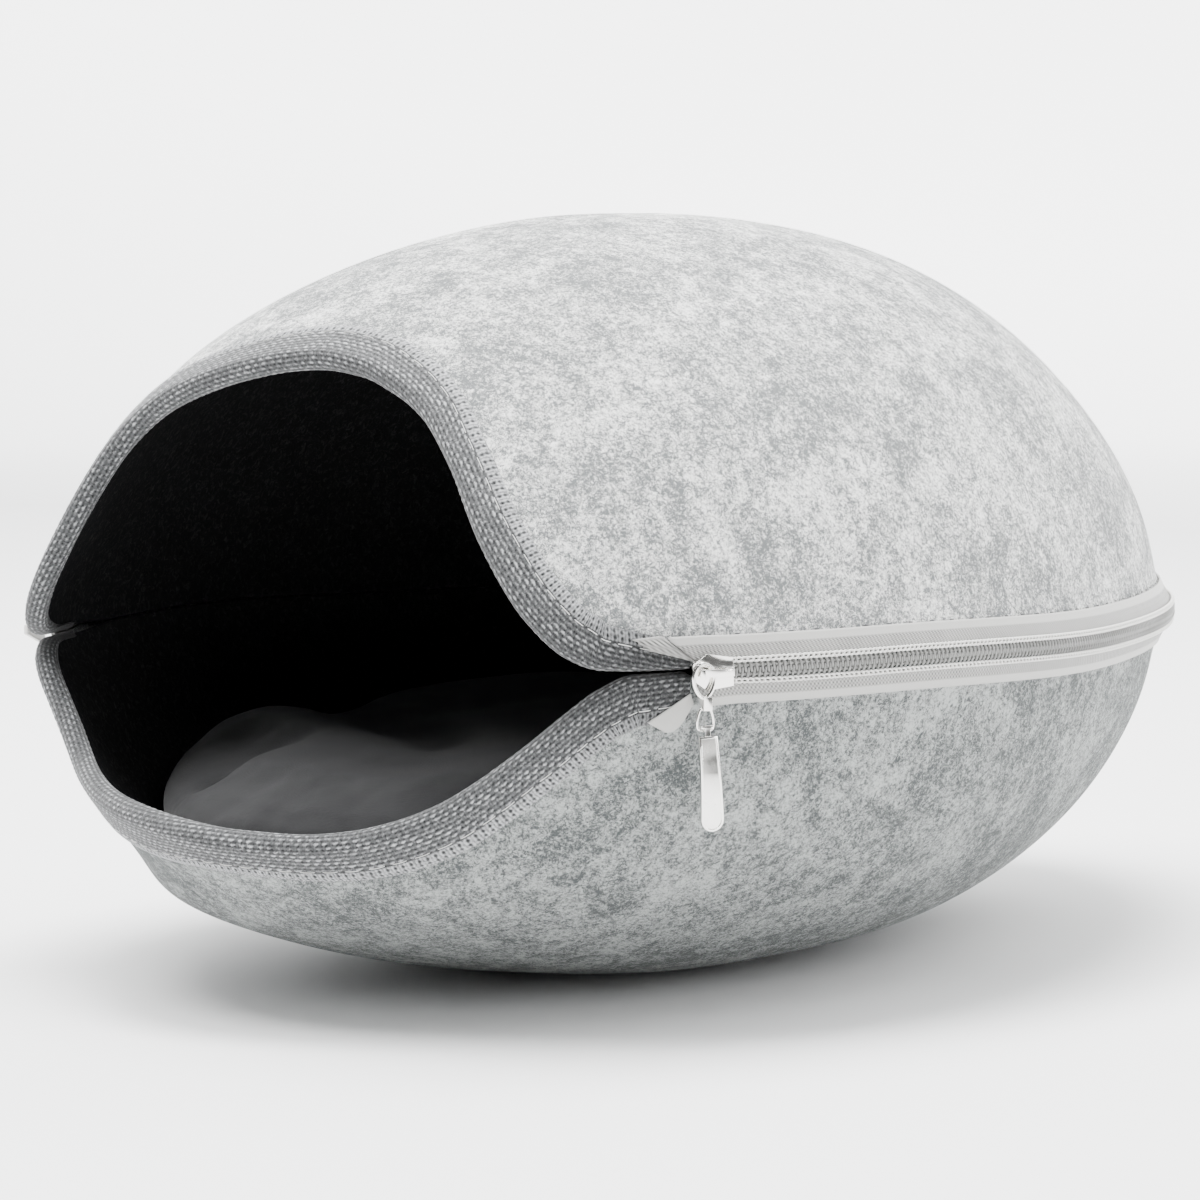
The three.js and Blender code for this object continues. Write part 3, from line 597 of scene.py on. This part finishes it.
def bindingMaterial():
    material, tree, shader = newMaterial("knittedBinding", Roughness=0.9, Specular_IOR_Level=0.2,
                                         Sheen_Weight=0.2)
    loops = addNode(tree, "ShaderNodeAttribute", attribute_name="loops").outputs["Fac"]
    place = objectPlace(tree)
    yarn = noise(tree, place, knit["yarnPerMetre"], 4, 0.7, 0.5)
    # painted shade: the colour runs from the dark knit colour in the gaps, pits and border holes between
    # loops to the light one on their tops, on top of the real relief
    lit = calc(tree, "ADD", loops, spread(tree, yarn, 0.3, 0.7, -0.22, 0.22))
    shade = blendColours(tree, spread(tree, lit, 0.05, 0.6), knit["dark"], knit["middle"])
    bright = blendColours(tree, spread(tree, lit, 0.6, 1.1), shade, knit["light"])
    # painted shade: the colour is darkened towards the corners of the mouth
    corner = addNode(tree, "ShaderNodeAttribute", attribute_name="corner").outputs["Fac"]
    cornerShaded = addNode(tree, "ShaderNodeHueSaturation", {"Color": bright, "Value": knit["cornerPaintedShade"]})
    colour = blendColours(tree, corner, bright, cornerShaded.outputs["Color"])
    tree.links.new(colour, shader.inputs["Base Color"])
    bump(tree, shader, yarn, 0.3, 0.4)
    return material


def bindingPiece(name, side, material):
    rows = knit["outerRows"] + knit["returnRows"]
    mesh = gridMesh(name, knit["columns"], rows, bindingPlace(side), capEnds=True)
    return finishPiece(name, mesh, material)


knittedBinding = bindingMaterial()
upperBinding = bindingPiece("upperBinding", 1, knittedBinding)
lowerBinding = bindingPiece("lowerBinding", -1, knittedBinding)
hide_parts("upper_binding")
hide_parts("lower_binding")
print("bindings made")

# Zip: tapes with their folded ends, coil, and the chain stitch that holds it
zipShape = {
    "startsAt": 52.8,
    "tapeFrom": 2.9,
    "tapeTo": 10.6,
    "tapeThickness": 0.7,
    "overBinding": 0.8,
    "pitch": 2.0,
    "coilMiddle": 1.0,
    "coilHalf": 1.75,
    "coilWire": 0.46,
    "cord": 0.62,
    "chainHeight": 2.75,
    "chainHalf": 0.56,
    "threadRadius": 0.37,
    "band": (620, 10),
    "flap": (14, 10),
}
upperEnd = {
    "fold": [(50.6, 9.6), (52.8, 2.9)],
    "flap": [(47.6, 10.4), (50.0, 11.2), (53.0, 2.4), (49.0, 6.6)],
}
lowerEnd = {
    "fold": [(53.4, -10.6), (52.6, -4.4)],
    "flap": [(48.9, -15.3), (50.4, -18.6), (52.7, -9.6), (52.4, -6.4)],
    "bulge": 2.9,
}


def tapeLift(turn):
    return mix(knit["thickness"] + zipShape["overBinding"], wall["clear"],
               smoothStep(zipShape["startsAt"], zipShape["startsAt"] + 4, np.abs(wrapped(turn))))


def tapePlace(side):
    low, high = zipShape["tapeFrom"], zipShape["tapeTo"]
    if side < 0:
        low, high = -high, -low
    ends = (upperEnd if side > 0 else lowerEnd)["fold"]
    ends = sorted(ends, key=lambda end: end[1])

    def place(along, across):
        height = mix(low, high, across)
        start = np.interp(height, [end[1] for end in ends], [end[0] for end in ends])
        turn = mix(start, 360 - zipShape["startsAt"], along)
        outer = onFace(turn, seamHeight(wrapped(turn)) + height, tapeLift(turn) + wall["clear"] + 0.55)
        fromBorder = (high - height) if side > 0 else (height - low)
        return outer, np.stack([along * 1150, fromBorder], -1), {}

    return place


def flapPlace(side):
    corners = (upperEnd if side > 0 else lowerEnd)["flap"]

    def place(along, across):
        (a, b, c, d) = [np.array(corner) for corner in corners]
        top = a[None, :] + (b - a)[None, :] * along[:, None]
        bottom = d[None, :] + (c - d)[None, :] * along[:, None]
        spot = top + (bottom - top) * across[:, None]
        # the cut end frays, and the far side of the lower flap bulges where it is folded
        fromCut = along if side > 0 else across
        spot[:, 0] += 0.12 * np.sin((along + across) * 43) * (1 - smoothStep(0, 0.2, fromCut))
        if side < 0:
            spot[:, 1] -= lowerEnd["bulge"] * np.sin(math.pi * across) * along
        puffed = 0.7 * np.sin(math.pi * along) * np.sin(math.pi * across)
        lift = knit["thickness"] + wall["clear"] + 0.7 + puffed
        points = onFace(spot[:, 0], seamHeight(spot[:, 0]) + spot[:, 1], lift)
        return points, np.stack([along * 9, across * 2 + (3 if side > 0 else 0)], -1), {}

    return place


tapeLook = {
    "colour": (0.40, 0.396, 0.378),
    "border": (0.40, 0.396, 0.378),
    "shade": (0.03, 0.03, 0.029),
    "ribPitch": 1.6,
    "pickPitch": 1.6,
    "wearPerMetre": 160,
}


def tapeMaterial():
    material, tree, shader = newMaterial("satinTape", Roughness=0.55, Specular_IOR_Level=0.35,
                                         Sheen_Weight=0.15)
    spot = addNode(tree, "ShaderNodeUVMap", uv_map="UVMap").outputs["UV"]
    uv = addNode(tree, "ShaderNodeSeparateXYZ", {0: spot})
    ribs = calc(tree, "SINE", calc(tree, "MULTIPLY", uv.outputs["X"], 2 * math.pi / tapeLook["ribPitch"]))
    picks = calc(tree, "SINE", calc(tree, "MULTIPLY", uv.outputs["Y"], 2 * math.pi / tapeLook["pickPitch"]))
    weave = calc(tree, "MULTIPLY", ribs, calc(tree, "ADD", calc(tree, "MULTIPLY", picks, 0.8), 0.2))
    inBorder = spread(tree, uv.outputs["Y"], 2.6, 3.1, 1, 0)
    body = blendColours(tree, spread(tree, weave, -1, 1), tapeLook["shade"], tapeLook["colour"])
    wear = noise(tree, objectPlace(tree), tapeLook["wearPerMetre"], 3)
    worn = spread(tree, wear, 0.3, 0.7, 0.0, 0.2)
    soft = blendColours(tree, worn, body, tapeLook["colour"])
    tree.links.new(blendColours(tree, inBorder, soft, tapeLook["border"]), shader.inputs["Base Color"])
    relief = calc(tree, "MULTIPLY", weave, calc(tree, "SUBTRACT", 1.0, inBorder))
    bump(tree, shader, relief, 0.12, 0.8)
    return material


def joined(name, meshes):
    bm = bmesh.new()
    for mesh in meshes:
        bm.from_mesh(mesh)
    whole = bpy.data.meshes.new(name)
    bm.to_mesh(whole)
    bm.free()
    return whole


def tapePiece(name, side, material):
    band = gridMesh(name, *zipShape["band"], tapePlace(side))
    flap = gridMesh(name + "Flap", *zipShape["flap"], flapPlace(side))
    piece = finishPiece(name, joined(name, [band, flap]), material)
    thicken(piece, zipShape["tapeThickness"])
    return piece


def zipTurns(pitch, shift=0.0):
    turns = np.linspace(zipShape["startsAt"], 360 - zipShape["startsAt"], 3001)
    points = onFace(turns, seamHeight(wrapped(turns)), 1.2)
    lengths = np.concatenate([[0], np.cumsum(np.linalg.norm(np.diff(points, axis=0), axis=1))])
    return np.interp(np.arange(shift, lengths[-1], pitch), lengths, turns)


def coilPath(side):
    perTurn = 8
    pitch = zipShape["pitch"]
    turns = zipTurns(pitch / perTurn, 0.0 if side > 0 else pitch / 2)
    angle = 2 * math.pi * np.arange(len(turns)) / perTurn
    height = side * (zipShape["coilMiddle"] + zipShape["coilHalf"] * np.cos(angle))
    off = 1.25 + 0.72 * np.sin(angle)
    return onFace(turns, seamHeight(wrapped(turns)) + height, off)


def cordPath(side):
    # the filler cord inside the coil
    turns = zipTurns(zipShape["pitch"])
    return onFace(turns, seamHeight(wrapped(turns)) + side * 1.25, 1.15)


def chainPaths(side):
    links = zipTurns(zipShape["pitch"], 0.4)
    width = zipTurns(0.25)[1] - zipTurns(0.25)[0]
    angle = 2 * math.pi * np.arange(8) / 8
    paths = []
    for turn in links:
        around = turn + width * 4 * 1.02 * np.cos(angle)
        height = seamHeight(wrapped(turn)) + side * zipShape["chainHeight"]
        height = height + zipShape["chainHalf"] * np.sin(angle)
        paths.append(onFace(around, height, 2.15 + 0.25 * np.cos(angle)))
    return paths


coilLook = {"dark": (0.18, 0.18, 0.174), "light": (0.25, 0.25, 0.241), "tonePerMetre": 300}
threadPerMetre = 2500


def coilMaterial():
    material, tree, shader = newMaterial("nylonCoil", Roughness=0.35, Specular_IOR_Level=0.5)
    tone = noise(tree, objectPlace(tree), coilLook["tonePerMetre"], 2)
    colour = blendColours(tree, tone, coilLook["dark"], coilLook["light"])
    tree.links.new(colour, shader.inputs["Base Color"])
    return material


def threadMaterial(name, first, second):
    material, tree, shader = newMaterial(name, Roughness=0.7, Sheen_Weight=0.2)
    tone = noise(tree, objectPlace(tree), threadPerMetre, 3)
    tree.links.new(blendColours(tree, tone, first, second), shader.inputs["Base Color"])
    bump(tree, shader, tone, 0.05, 0.5)
    return material


satinTape = tapeMaterial()
zipTapeUpper = tapePiece("zipTapeUpper", 1, satinTape)
zipTapeLower = tapePiece("zipTapeLower", -1, satinTape)
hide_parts("zip_tape_upper")
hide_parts("zip_tape_lower")

coilTurns = threadMesh("coilTurns", [coilPath(1), coilPath(-1)], zipShape["coilWire"])
coilCords = threadMesh("coilCords", [cordPath(1), cordPath(-1)], zipShape["cord"])
coil = finishPiece("zipCoil", joined("zipCoil", [coilTurns, coilCords]), coilMaterial())
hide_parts("zip_coil")
paleThread = threadMaterial("paleThread", (0.62, 0.61, 0.58), (0.80, 0.79, 0.76))
chainLinks = chainPaths(1) + chainPaths(-1)
chainMesh = threadMesh("zipChainStitch", chainLinks, zipShape["threadRadius"], cyclic=True)
finishPiece("zipChainStitch", chainMesh, paleThread)
print("zip made")

# Running stitches: along the binding, and the needle marks beside the upper tape
stitches = {"inset": 4.9, "length": 6.2, "pitch": 7.6, "radius": 0.15, "markPitch": 10.2, "markLength": 1.3,
            "markRadius": 0.2}


def bindingStitches(side):
    turns = np.linspace(-mouth["end"] + 1, mouth["end"] - 1, 1501)
    lengths = edgeTurns(side, turns)
    paths = []
    for start in np.arange(2, lengths[-1] - stitches["length"], stitches["pitch"]):
        share = np.linspace(0, 1, 7)
        turn = np.interp(start + stitches["length"] * share, lengths, turns)
        width = mouthRow("riseTape" if side > 0 else "dropTape", turn)
        off = bindingOut - 0.05 - 0.6 * np.abs(2 * share - 1) ** 3
        paths.append(nearEdge(turn, side, width - stitches["inset"], off))
    return paths


def tapeMarks():
    paths = []
    for turn in zipTurns(stitches["markPitch"], 6.0):
        share = np.linspace(-0.5, 0.5, 3)
        around = turn + share * stitches["markLength"] / 3.3
        height = seamHeight(wrapped(around)) + zipShape["tapeTo"] + 0.5
        paths.append(onFace(around, height, 0.12))
    return paths


greyThread = threadMaterial("greyThread", (0.50, 0.50, 0.485), (0.74, 0.74, 0.72))
bothRows = bindingStitches(1) + bindingStitches(-1)
rowsMesh = threadMesh("bindingStitches", bothRows, stitches["radius"])
finishPiece("bindingStitches", rowsMesh, greyThread)
darkThread = threadMaterial("darkThread", (0.03, 0.03, 0.03), (0.07, 0.07, 0.07))
marks = threadMesh("tapeStitchMarks", tapeMarks(), stitches["markRadius"])
finishPiece("tapeStitchMarks", marks, darkThread)
print("stitches made")

# White end of the zip at the far corner
farEnd = {"from": -52.2, "to": -49, "low": -2.2, "high": 2.2, "half": 1.5, "liftFrom": 3.5, "liftTo": 6,
          "thickness": 1.4}


def farEndPlace(along, across):
    turn = mix(farEnd["from"], farEnd["to"], along)
    middle = seamHeight(turn) + mix(farEnd["low"], farEnd["high"], along)
    height = middle + mix(-farEnd["half"], farEnd["half"], across) * (1 - 0.15 * along ** 3)
    off = mix(farEnd["liftFrom"], farEnd["liftTo"], along ** 1.5) + farEnd["thickness"]
    return onFace(turn, height, off), np.stack([along * 12, across * 5 + 3], -1), {}


endMaterial = threadMaterial("whiteZipEnd", (0.66, 0.65, 0.62), (0.82, 0.81, 0.78))
farZipEnd = finishPiece("farZipEnd", gridMesh("farZipEnd", 16, 8, farEndPlace), endMaterial)
thicken(farZipEnd, farEnd["thickness"])
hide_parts("far_zip_end")

# Nickel slider and pull: the CAD forms with rounded edges
smudgesPerMetre = 260
metalLook = {"colour": (0.90, 0.885, 0.85), "roughness": 0.12}
# the tab's panel is drawn dark near its top: painted reflection
tabPanelPaintedReflection = {"colour": (0.88, 0.865, 0.83), "head": (0.19, 0.186, 0.176), "roughness": 0.20}
tabBow = {"slices": 9, "depth": 0.9, "turn": 65}


def nickelMaterial(name, look):
    material, tree, shader = newMaterial(name, Metallic=1.0)
    smudge = noise(tree, objectPlace(tree), smudgesPerMetre, 3, 0.6)
    tree.links.new(spread(tree, smudge, 0.3, 0.7, look["roughness"] * 0.7, look["roughness"] * 1.5),
                   shader.inputs["Roughness"])
    tintAndPaintedLight = blendColours(tree, smudge, look["colour"], tuple(0.94 * part for part in look["colour"]))
    if "head" in look:  # painted reflection: the panel is drawn darker towards the top of the tab
        low, high = (corner.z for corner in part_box("pull_tab"))
        rise = addNode(tree, "ShaderNodeSeparateXYZ", {0: objectPlace(tree)}).outputs["Z"]
        paintedReflectionShare = spread(tree, rise, mix(low, high, 0.3), mix(low, high, 0.95))
        tintAndPaintedLight = blendColours(tree, paintedReflectionShare, tintAndPaintedLight, look["head"])
    tree.links.new(tintAndPaintedLight, shader.inputs["Base Color"])
    return material


def bowed(bm, outward):
    # a slight bow along the tab, so that its face catches the light from dark to bright
    front = [face for face in bm.faces if face.normal.dot(outward) > 0.9]
    max(front, key=lambda face: face.calc_area()).material_index = 1
    heights = [vert.co.z for vert in bm.verts]
    low, high = min(heights), max(heights)
    for cut in range(1, tabBow["slices"]):
        level = mix(low, high, cut / tabBow["slices"])
        parts = bm.verts[:] + bm.edges[:] + bm.faces[:]
        bmesh.ops.bisect_plane(bm, geom=parts, dist=1e-6, plane_co=(0, 0, level), plane_no=(0, 0, 1))
    for vert in bm.verts:
        share = (vert.co.z - low) / (high - low)
        vert.co += outward * tabBow["depth"] * 0.001 * (1 - (2 * share - 1) ** 2)


def metalPiece(name, node, material, rounding=0.0, levels=0, bow=False):
    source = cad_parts[node]
    bm = bmesh.new()
    bm.from_mesh(source.data)
    bmesh.ops.remove_doubles(bm, verts=bm.verts, dist=1e-6)
    bmesh.ops.dissolve_limit(bm, angle_limit=math.radians(1), verts=bm.verts, edges=bm.edges)
    if bow:
        turn = math.radians(tabBow["turn"])
        bm.normal_update()
        bowed(bm, Vector((math.sin(turn), -math.cos(turn), 0)))
    mesh = bpy.data.meshes.new(name)
    bm.to_mesh(mesh)
    bm.free()
    piece = finishPiece(name, mesh, material)
    if rounding:
        soft = piece.modifiers.new("roundedEdges", "BEVEL")
        soft.width = rounding * 0.001
        soft.segments = 3
        soft.limit_method = "ANGLE"
        soft.harden_normals = True
    if levels:
        smooth = piece.modifiers.new("roundWire", "SUBSURF")
        smooth.levels = levels
        smooth.render_levels = levels
    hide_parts(node)
    return piece


brightNickel = nickelMaterial("brightNickel", metalLook)
metalPiece("slider", "slider", brightNickel, rounding=0.42)
metalPiece("pullRing", "pull_ring", brightNickel, rounding=0.12)
metalPiece("pullLink", "pull_link", brightNickel, levels=2)
pullTab = metalPiece("pullTab", "pull_tab", brightNickel, rounding=0.18, bow=True)
pullTab.data.materials.append(nickelMaterial("tabPanelPaintedReflection", tabPanelPaintedReflection))
print("slider and pull made")

# Plush cushion: blown up from its solid by a cloth simulation, then creased as it lies
plush = {"voxel": 5.0, "pressure": 4.0, "frames": 20, "cap": 5.0, "inset": 3.0, "crease": 5.0,
         "creaseWidth": 13.0}
creaseLine = [(-150, -5), (-92, -62), (-35, -98), (8, -118)]
# place across and along the bed, reach and rise of each lump or hollow
creases = {"shoulder": (-150, -95, 30, 16), "tuft": (-45, -168, 7, -6), "front": (20, -150, 26, -4),
           "middle": (30, -40, 22, -3), "rear": (-60, 60, 30, -4)}
cushionSide = {"turn": -50, "spread": 34, "out": 8}
plushLook = {"colour": (0.025, 0.025, 0.026), "brushed": (0.036, 0.036, 0.037), "strokesPerMetre": 22,
             "pilePerMetre": 1500}


def plushMaterial():
    material, tree, shader = newMaterial("darkPlush", Roughness=0.95, Specular_IOR_Level=0.15,
                                         Sheen_Weight=0.15, Sheen_Roughness=0.5)
    place = objectPlace(tree)
    strokes = spread(tree, noise(tree, place, plushLook["strokesPerMetre"], 4, 0.6, 1.5), 0.38, 0.66)
    pile = noise(tree, place, plushLook["pilePerMetre"], 3, 0.7)
    tone = calc(tree, "ADD", strokes, spread(tree, pile, 0.3, 0.7, -0.15, 0.15))
    colour = blendColours(tree, tone, plushLook["colour"], plushLook["brushed"])
    tree.links.new(colour, shader.inputs["Base Color"])
    bump(tree, shader, pile, 0.6, 0.4)
    return material


def meshPoints(mesh):
    points = np.empty(len(mesh.vertices) * 3)
    mesh.vertices.foreach_get("co", points)
    return points.reshape(-1, 3)


def evaluatedMesh(piece):
    evaluated = piece.evaluated_get(bpy.context.evaluated_depsgraph_get())
    return bpy.data.meshes.new_from_object(evaluated)


def awayFromLine(points, line):
    nearest = np.full(len(points), np.inf)
    for start, end in zip(line[:-1], line[1:]):
        start, run = np.array(start, float), np.array(end, float) - np.array(start, float)
        share = np.clip(((points - start) @ run) / (run @ run), 0, 1)
        nearest = np.minimum(nearest, np.linalg.norm(points - start - share[:, None] * run, axis=1))
    return nearest


def creased(points):
    bed = points / 0.001 - np.array(egg["centre"])
    onTop = smoothStep(-88, -66, bed[:, 2])
    sink = plush["crease"] * np.exp(-((awayFromLine(bed[:, :2], creaseLine) / plush["creaseWidth"]) ** 2))
    for x, y, reach, rise in creases.values():
        sink -= rise * np.exp(-((bed[:, 0] - x) ** 2 + (bed[:, 1] - y) ** 2) / reach ** 2)
    bed[:, 2] -= sink * onTop
    # its left side leans on the lining
    turn = np.degrees(np.arctan2(bed[:, 0], -bed[:, 1]))
    radius = np.maximum(np.hypot(bed[:, 0], bed[:, 1]), 1)
    out = cushionSide["out"] * np.exp(-(((turn - cushionSide["turn"]) / cushionSide["spread"]) ** 2))
    out = out * smoothStep(-78, -52, bed[:, 2]) * smoothStep(70, 140, radius)
    bed[:, :2] *= (1 + out / radius)[:, None]
    return placed(bed)


def cushionPiece():
    bm = bmesh.new()
    bm.from_mesh(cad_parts["cushion"].data)
    bmesh.ops.remove_doubles(bm, verts=bm.verts, dist=1e-6)
    bm.normal_update()
    for vert in bm.verts:
        vert.co -= vert.normal * plush["inset"] * 0.001
    mesh = bpy.data.meshes.new("plushCushion")
    bm.to_mesh(mesh)
    bm.free()
    piece = finishPiece("plushCushion", mesh, plushMaterial())
    remesh = piece.modifiers.new("even", "REMESH")
    remesh.mode = "VOXEL"
    remesh.voxel_size = plush["voxel"] * 0.001
    remesh.use_smooth_shade = True
    piece.data = evaluatedMesh(piece)
    piece.modifiers.clear()
    inflate(piece)
    points = creased(meshPoints(piece.data))
    piece.data.vertices.foreach_set("co", points.ravel())
    soft = piece.modifiers.new("soft", "SUBSURF")
    soft.levels = 1
    soft.render_levels = 1
    return piece


def inflate(piece):
    cloth = piece.modifiers.new("pressure", "CLOTH")
    cloth.settings.use_pressure = True
    cloth.settings.uniform_pressure_force = plush["pressure"]
    cloth.settings.effector_weights.gravity = 0
    start = meshPoints(piece.data)
    for step in range(1, plush["frames"] + 1):
        bpy.context.scene.frame_set(step)
    moved = meshPoints(evaluatedMesh(piece)) - start
    length = np.linalg.norm(moved, axis=1, keepdims=True)
    moved *= np.minimum(1, plush["cap"] * 0.001 / np.maximum(length, 1e-9))
    piece.modifiers.clear()
    piece.data.vertices.foreach_set("co", (start + moved).ravel())
    bpy.context.scene.frame_set(1)


cushion = cushionPiece()
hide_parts("cushion")
print("cushion made")

# Studio: pale floor, soft light, camera at the photograph's angle
studio = {
    "flat": 4.0,
    "bend": 3.0,
    "wall": 6.5,
    "pale": (0.84, 0.84, 0.84),
    "dim": (0.07, 0.07, 0.07),
    "dimTurn": 18,
    "paleFrom": 1.2,
    "dimFrom": 2.9,
    "glowFrom": 2.2,
    "glowTo": 5.0,
    "glow": 3.0,
}
skyLight = {"colour": (0.97, 0.985, 1.0), "strength": 2.6}
lampsAim = (0, 0, 0.12)
lamps = {
    "topLamp": {"place": (-0.2, 0.1, 2.6), "size": 1.6, "power": 200},
    "keyLamp": {"place": (-0.5, -1.4, 3.0), "size": 1.2, "power": 100},
    "sideLamp": {"place": (2.4, -0.9, 1.5), "size": 1.4, "power": 20},
    "cardLamp": {"place": (2.2, 0.0, 0.4), "size": 0.35, "power": 5},
}
camera = {"azimuth": 40.243, "elevation": 5.126, "roll": -0.177, "distance": 1476.8, "focalPixels": 4034.0,
          "middleX": 641.9, "middleY": 618.2, "imageSize": 1200}


def makeFloor():
    # a round floor that bends up into a wall
    bm = bmesh.new()
    arc = [math.radians(angle) for angle in range(0, 91, 6)]
    line = [(0, 0)]
    for angle in arc:
        out = studio["flat"] + studio["bend"] * math.sin(angle)
        line.append((out, studio["bend"] * (1 - math.cos(angle))))
    line += [(studio["flat"] + studio["bend"], studio["bend"] + studio["wall"])]
    verts = [bm.verts.new((x, 0, z)) for x, z in line]
    edges = [bm.edges.new(pair) for pair in zip(verts[:-1], verts[1:])]
    bmesh.ops.spin(bm, geom=verts + edges, axis=(0, 0, 1), cent=(0, 0, 0), angle=2 * math.pi, steps=96)
    bmesh.ops.remove_doubles(bm, verts=bm.verts, dist=1e-4)
    mesh = bpy.data.meshes.new("floor")
    bm.to_mesh(mesh)
    bm.free()
    # pale under and behind the bed, dim behind the camera
    material, tree, shader = newMaterial("paleFloor", Roughness=0.9, Specular_IOR_Level=0.1)
    turn = math.radians(studio["dimTurn"])
    place = addNode(tree, "ShaderNodeTexCoord").outputs["Object"]
    towards = addNode(tree, "ShaderNodeVectorMath", {0: place, 1: (math.sin(turn), -math.cos(turn), 0)},
                      operation="DOT_PRODUCT").outputs["Value"]
    share = spread(tree, towards, studio["paleFrom"], studio["dimFrom"])
    tree.links.new(blendColours(tree, share, studio["pale"], studio["dim"]), shader.inputs["Base Color"])
    # the wall behind the bed glows like a lit backdrop
    behind = spread(tree, towards, -studio["glowFrom"], -studio["glowTo"], 0, studio["glow"])
    shader.inputs["Emission Color"].default_value = (1, 1, 1, 1)
    tree.links.new(behind, shader.inputs["Emission Strength"])
    floor = bpy.data.objects.new("floor", mesh)
    bpy.context.scene.collection.objects.link(floor)
    mesh.materials.append(material)
    mesh.polygons.foreach_set("use_smooth", [True] * len(mesh.polygons))


def makeSky():
    world = bpy.data.worlds.new("studioLight")
    world.use_nodes = True
    background = world.node_tree.nodes["Background"]
    background.inputs["Color"].default_value = (*skyLight["colour"], 1)
    background.inputs["Strength"].default_value = skyLight["strength"]
    bpy.context.scene.world = world


def makeLamp(name, place, size, power):
    light = bpy.data.lights.new(name, "AREA")
    light.shape = "DISK"
    light.size = size
    light.energy = power
    lamp = bpy.data.objects.new(name, light)
    lamp.location = place
    lamp.rotation_mode = "QUATERNION"
    lamp.rotation_quaternion = (Vector(lampsAim) - Vector(place)).to_track_quat("-Z", "Y")
    bpy.context.scene.collection.objects.link(lamp)


def makeCamera():
    turn, rise, roll = (math.radians(camera[key]) for key in ("azimuth", "elevation", "roll"))
    back = Vector((math.sin(turn) * math.cos(rise), -math.cos(turn) * math.cos(rise), math.sin(rise)))
    level = Vector((math.cos(turn), math.sin(turn), 0))
    up = back.cross(level)
    right = level * math.cos(roll) + up * math.sin(roll)
    top = up * math.cos(roll) - level * math.sin(roll)
    centre = Vector(placed([0, 0, 0]))
    data = bpy.data.cameras.new("photoCamera")
    data.sensor_fit = "HORIZONTAL"
    data.angle = 2 * math.atan(camera["imageSize"] / 2 / camera["focalPixels"])
    data.shift_x = 0.5 - camera["middleX"] / camera["imageSize"]
    data.shift_y = camera["middleY"] / camera["imageSize"] - 0.5
    holder = bpy.data.objects.new("photoCamera", data)
    axes = Matrix((right, top, back)).transposed().to_4x4()
    axes.translation = centre + back * camera["distance"] * 0.001
    holder.matrix_world = axes
    bpy.context.scene.collection.objects.link(holder)
    bpy.context.scene.camera = holder


makeFloor()
makeSky()
for lampName, lamp in lamps.items():
    makeLamp(lampName, **lamp)
makeCamera()
print("studio made")
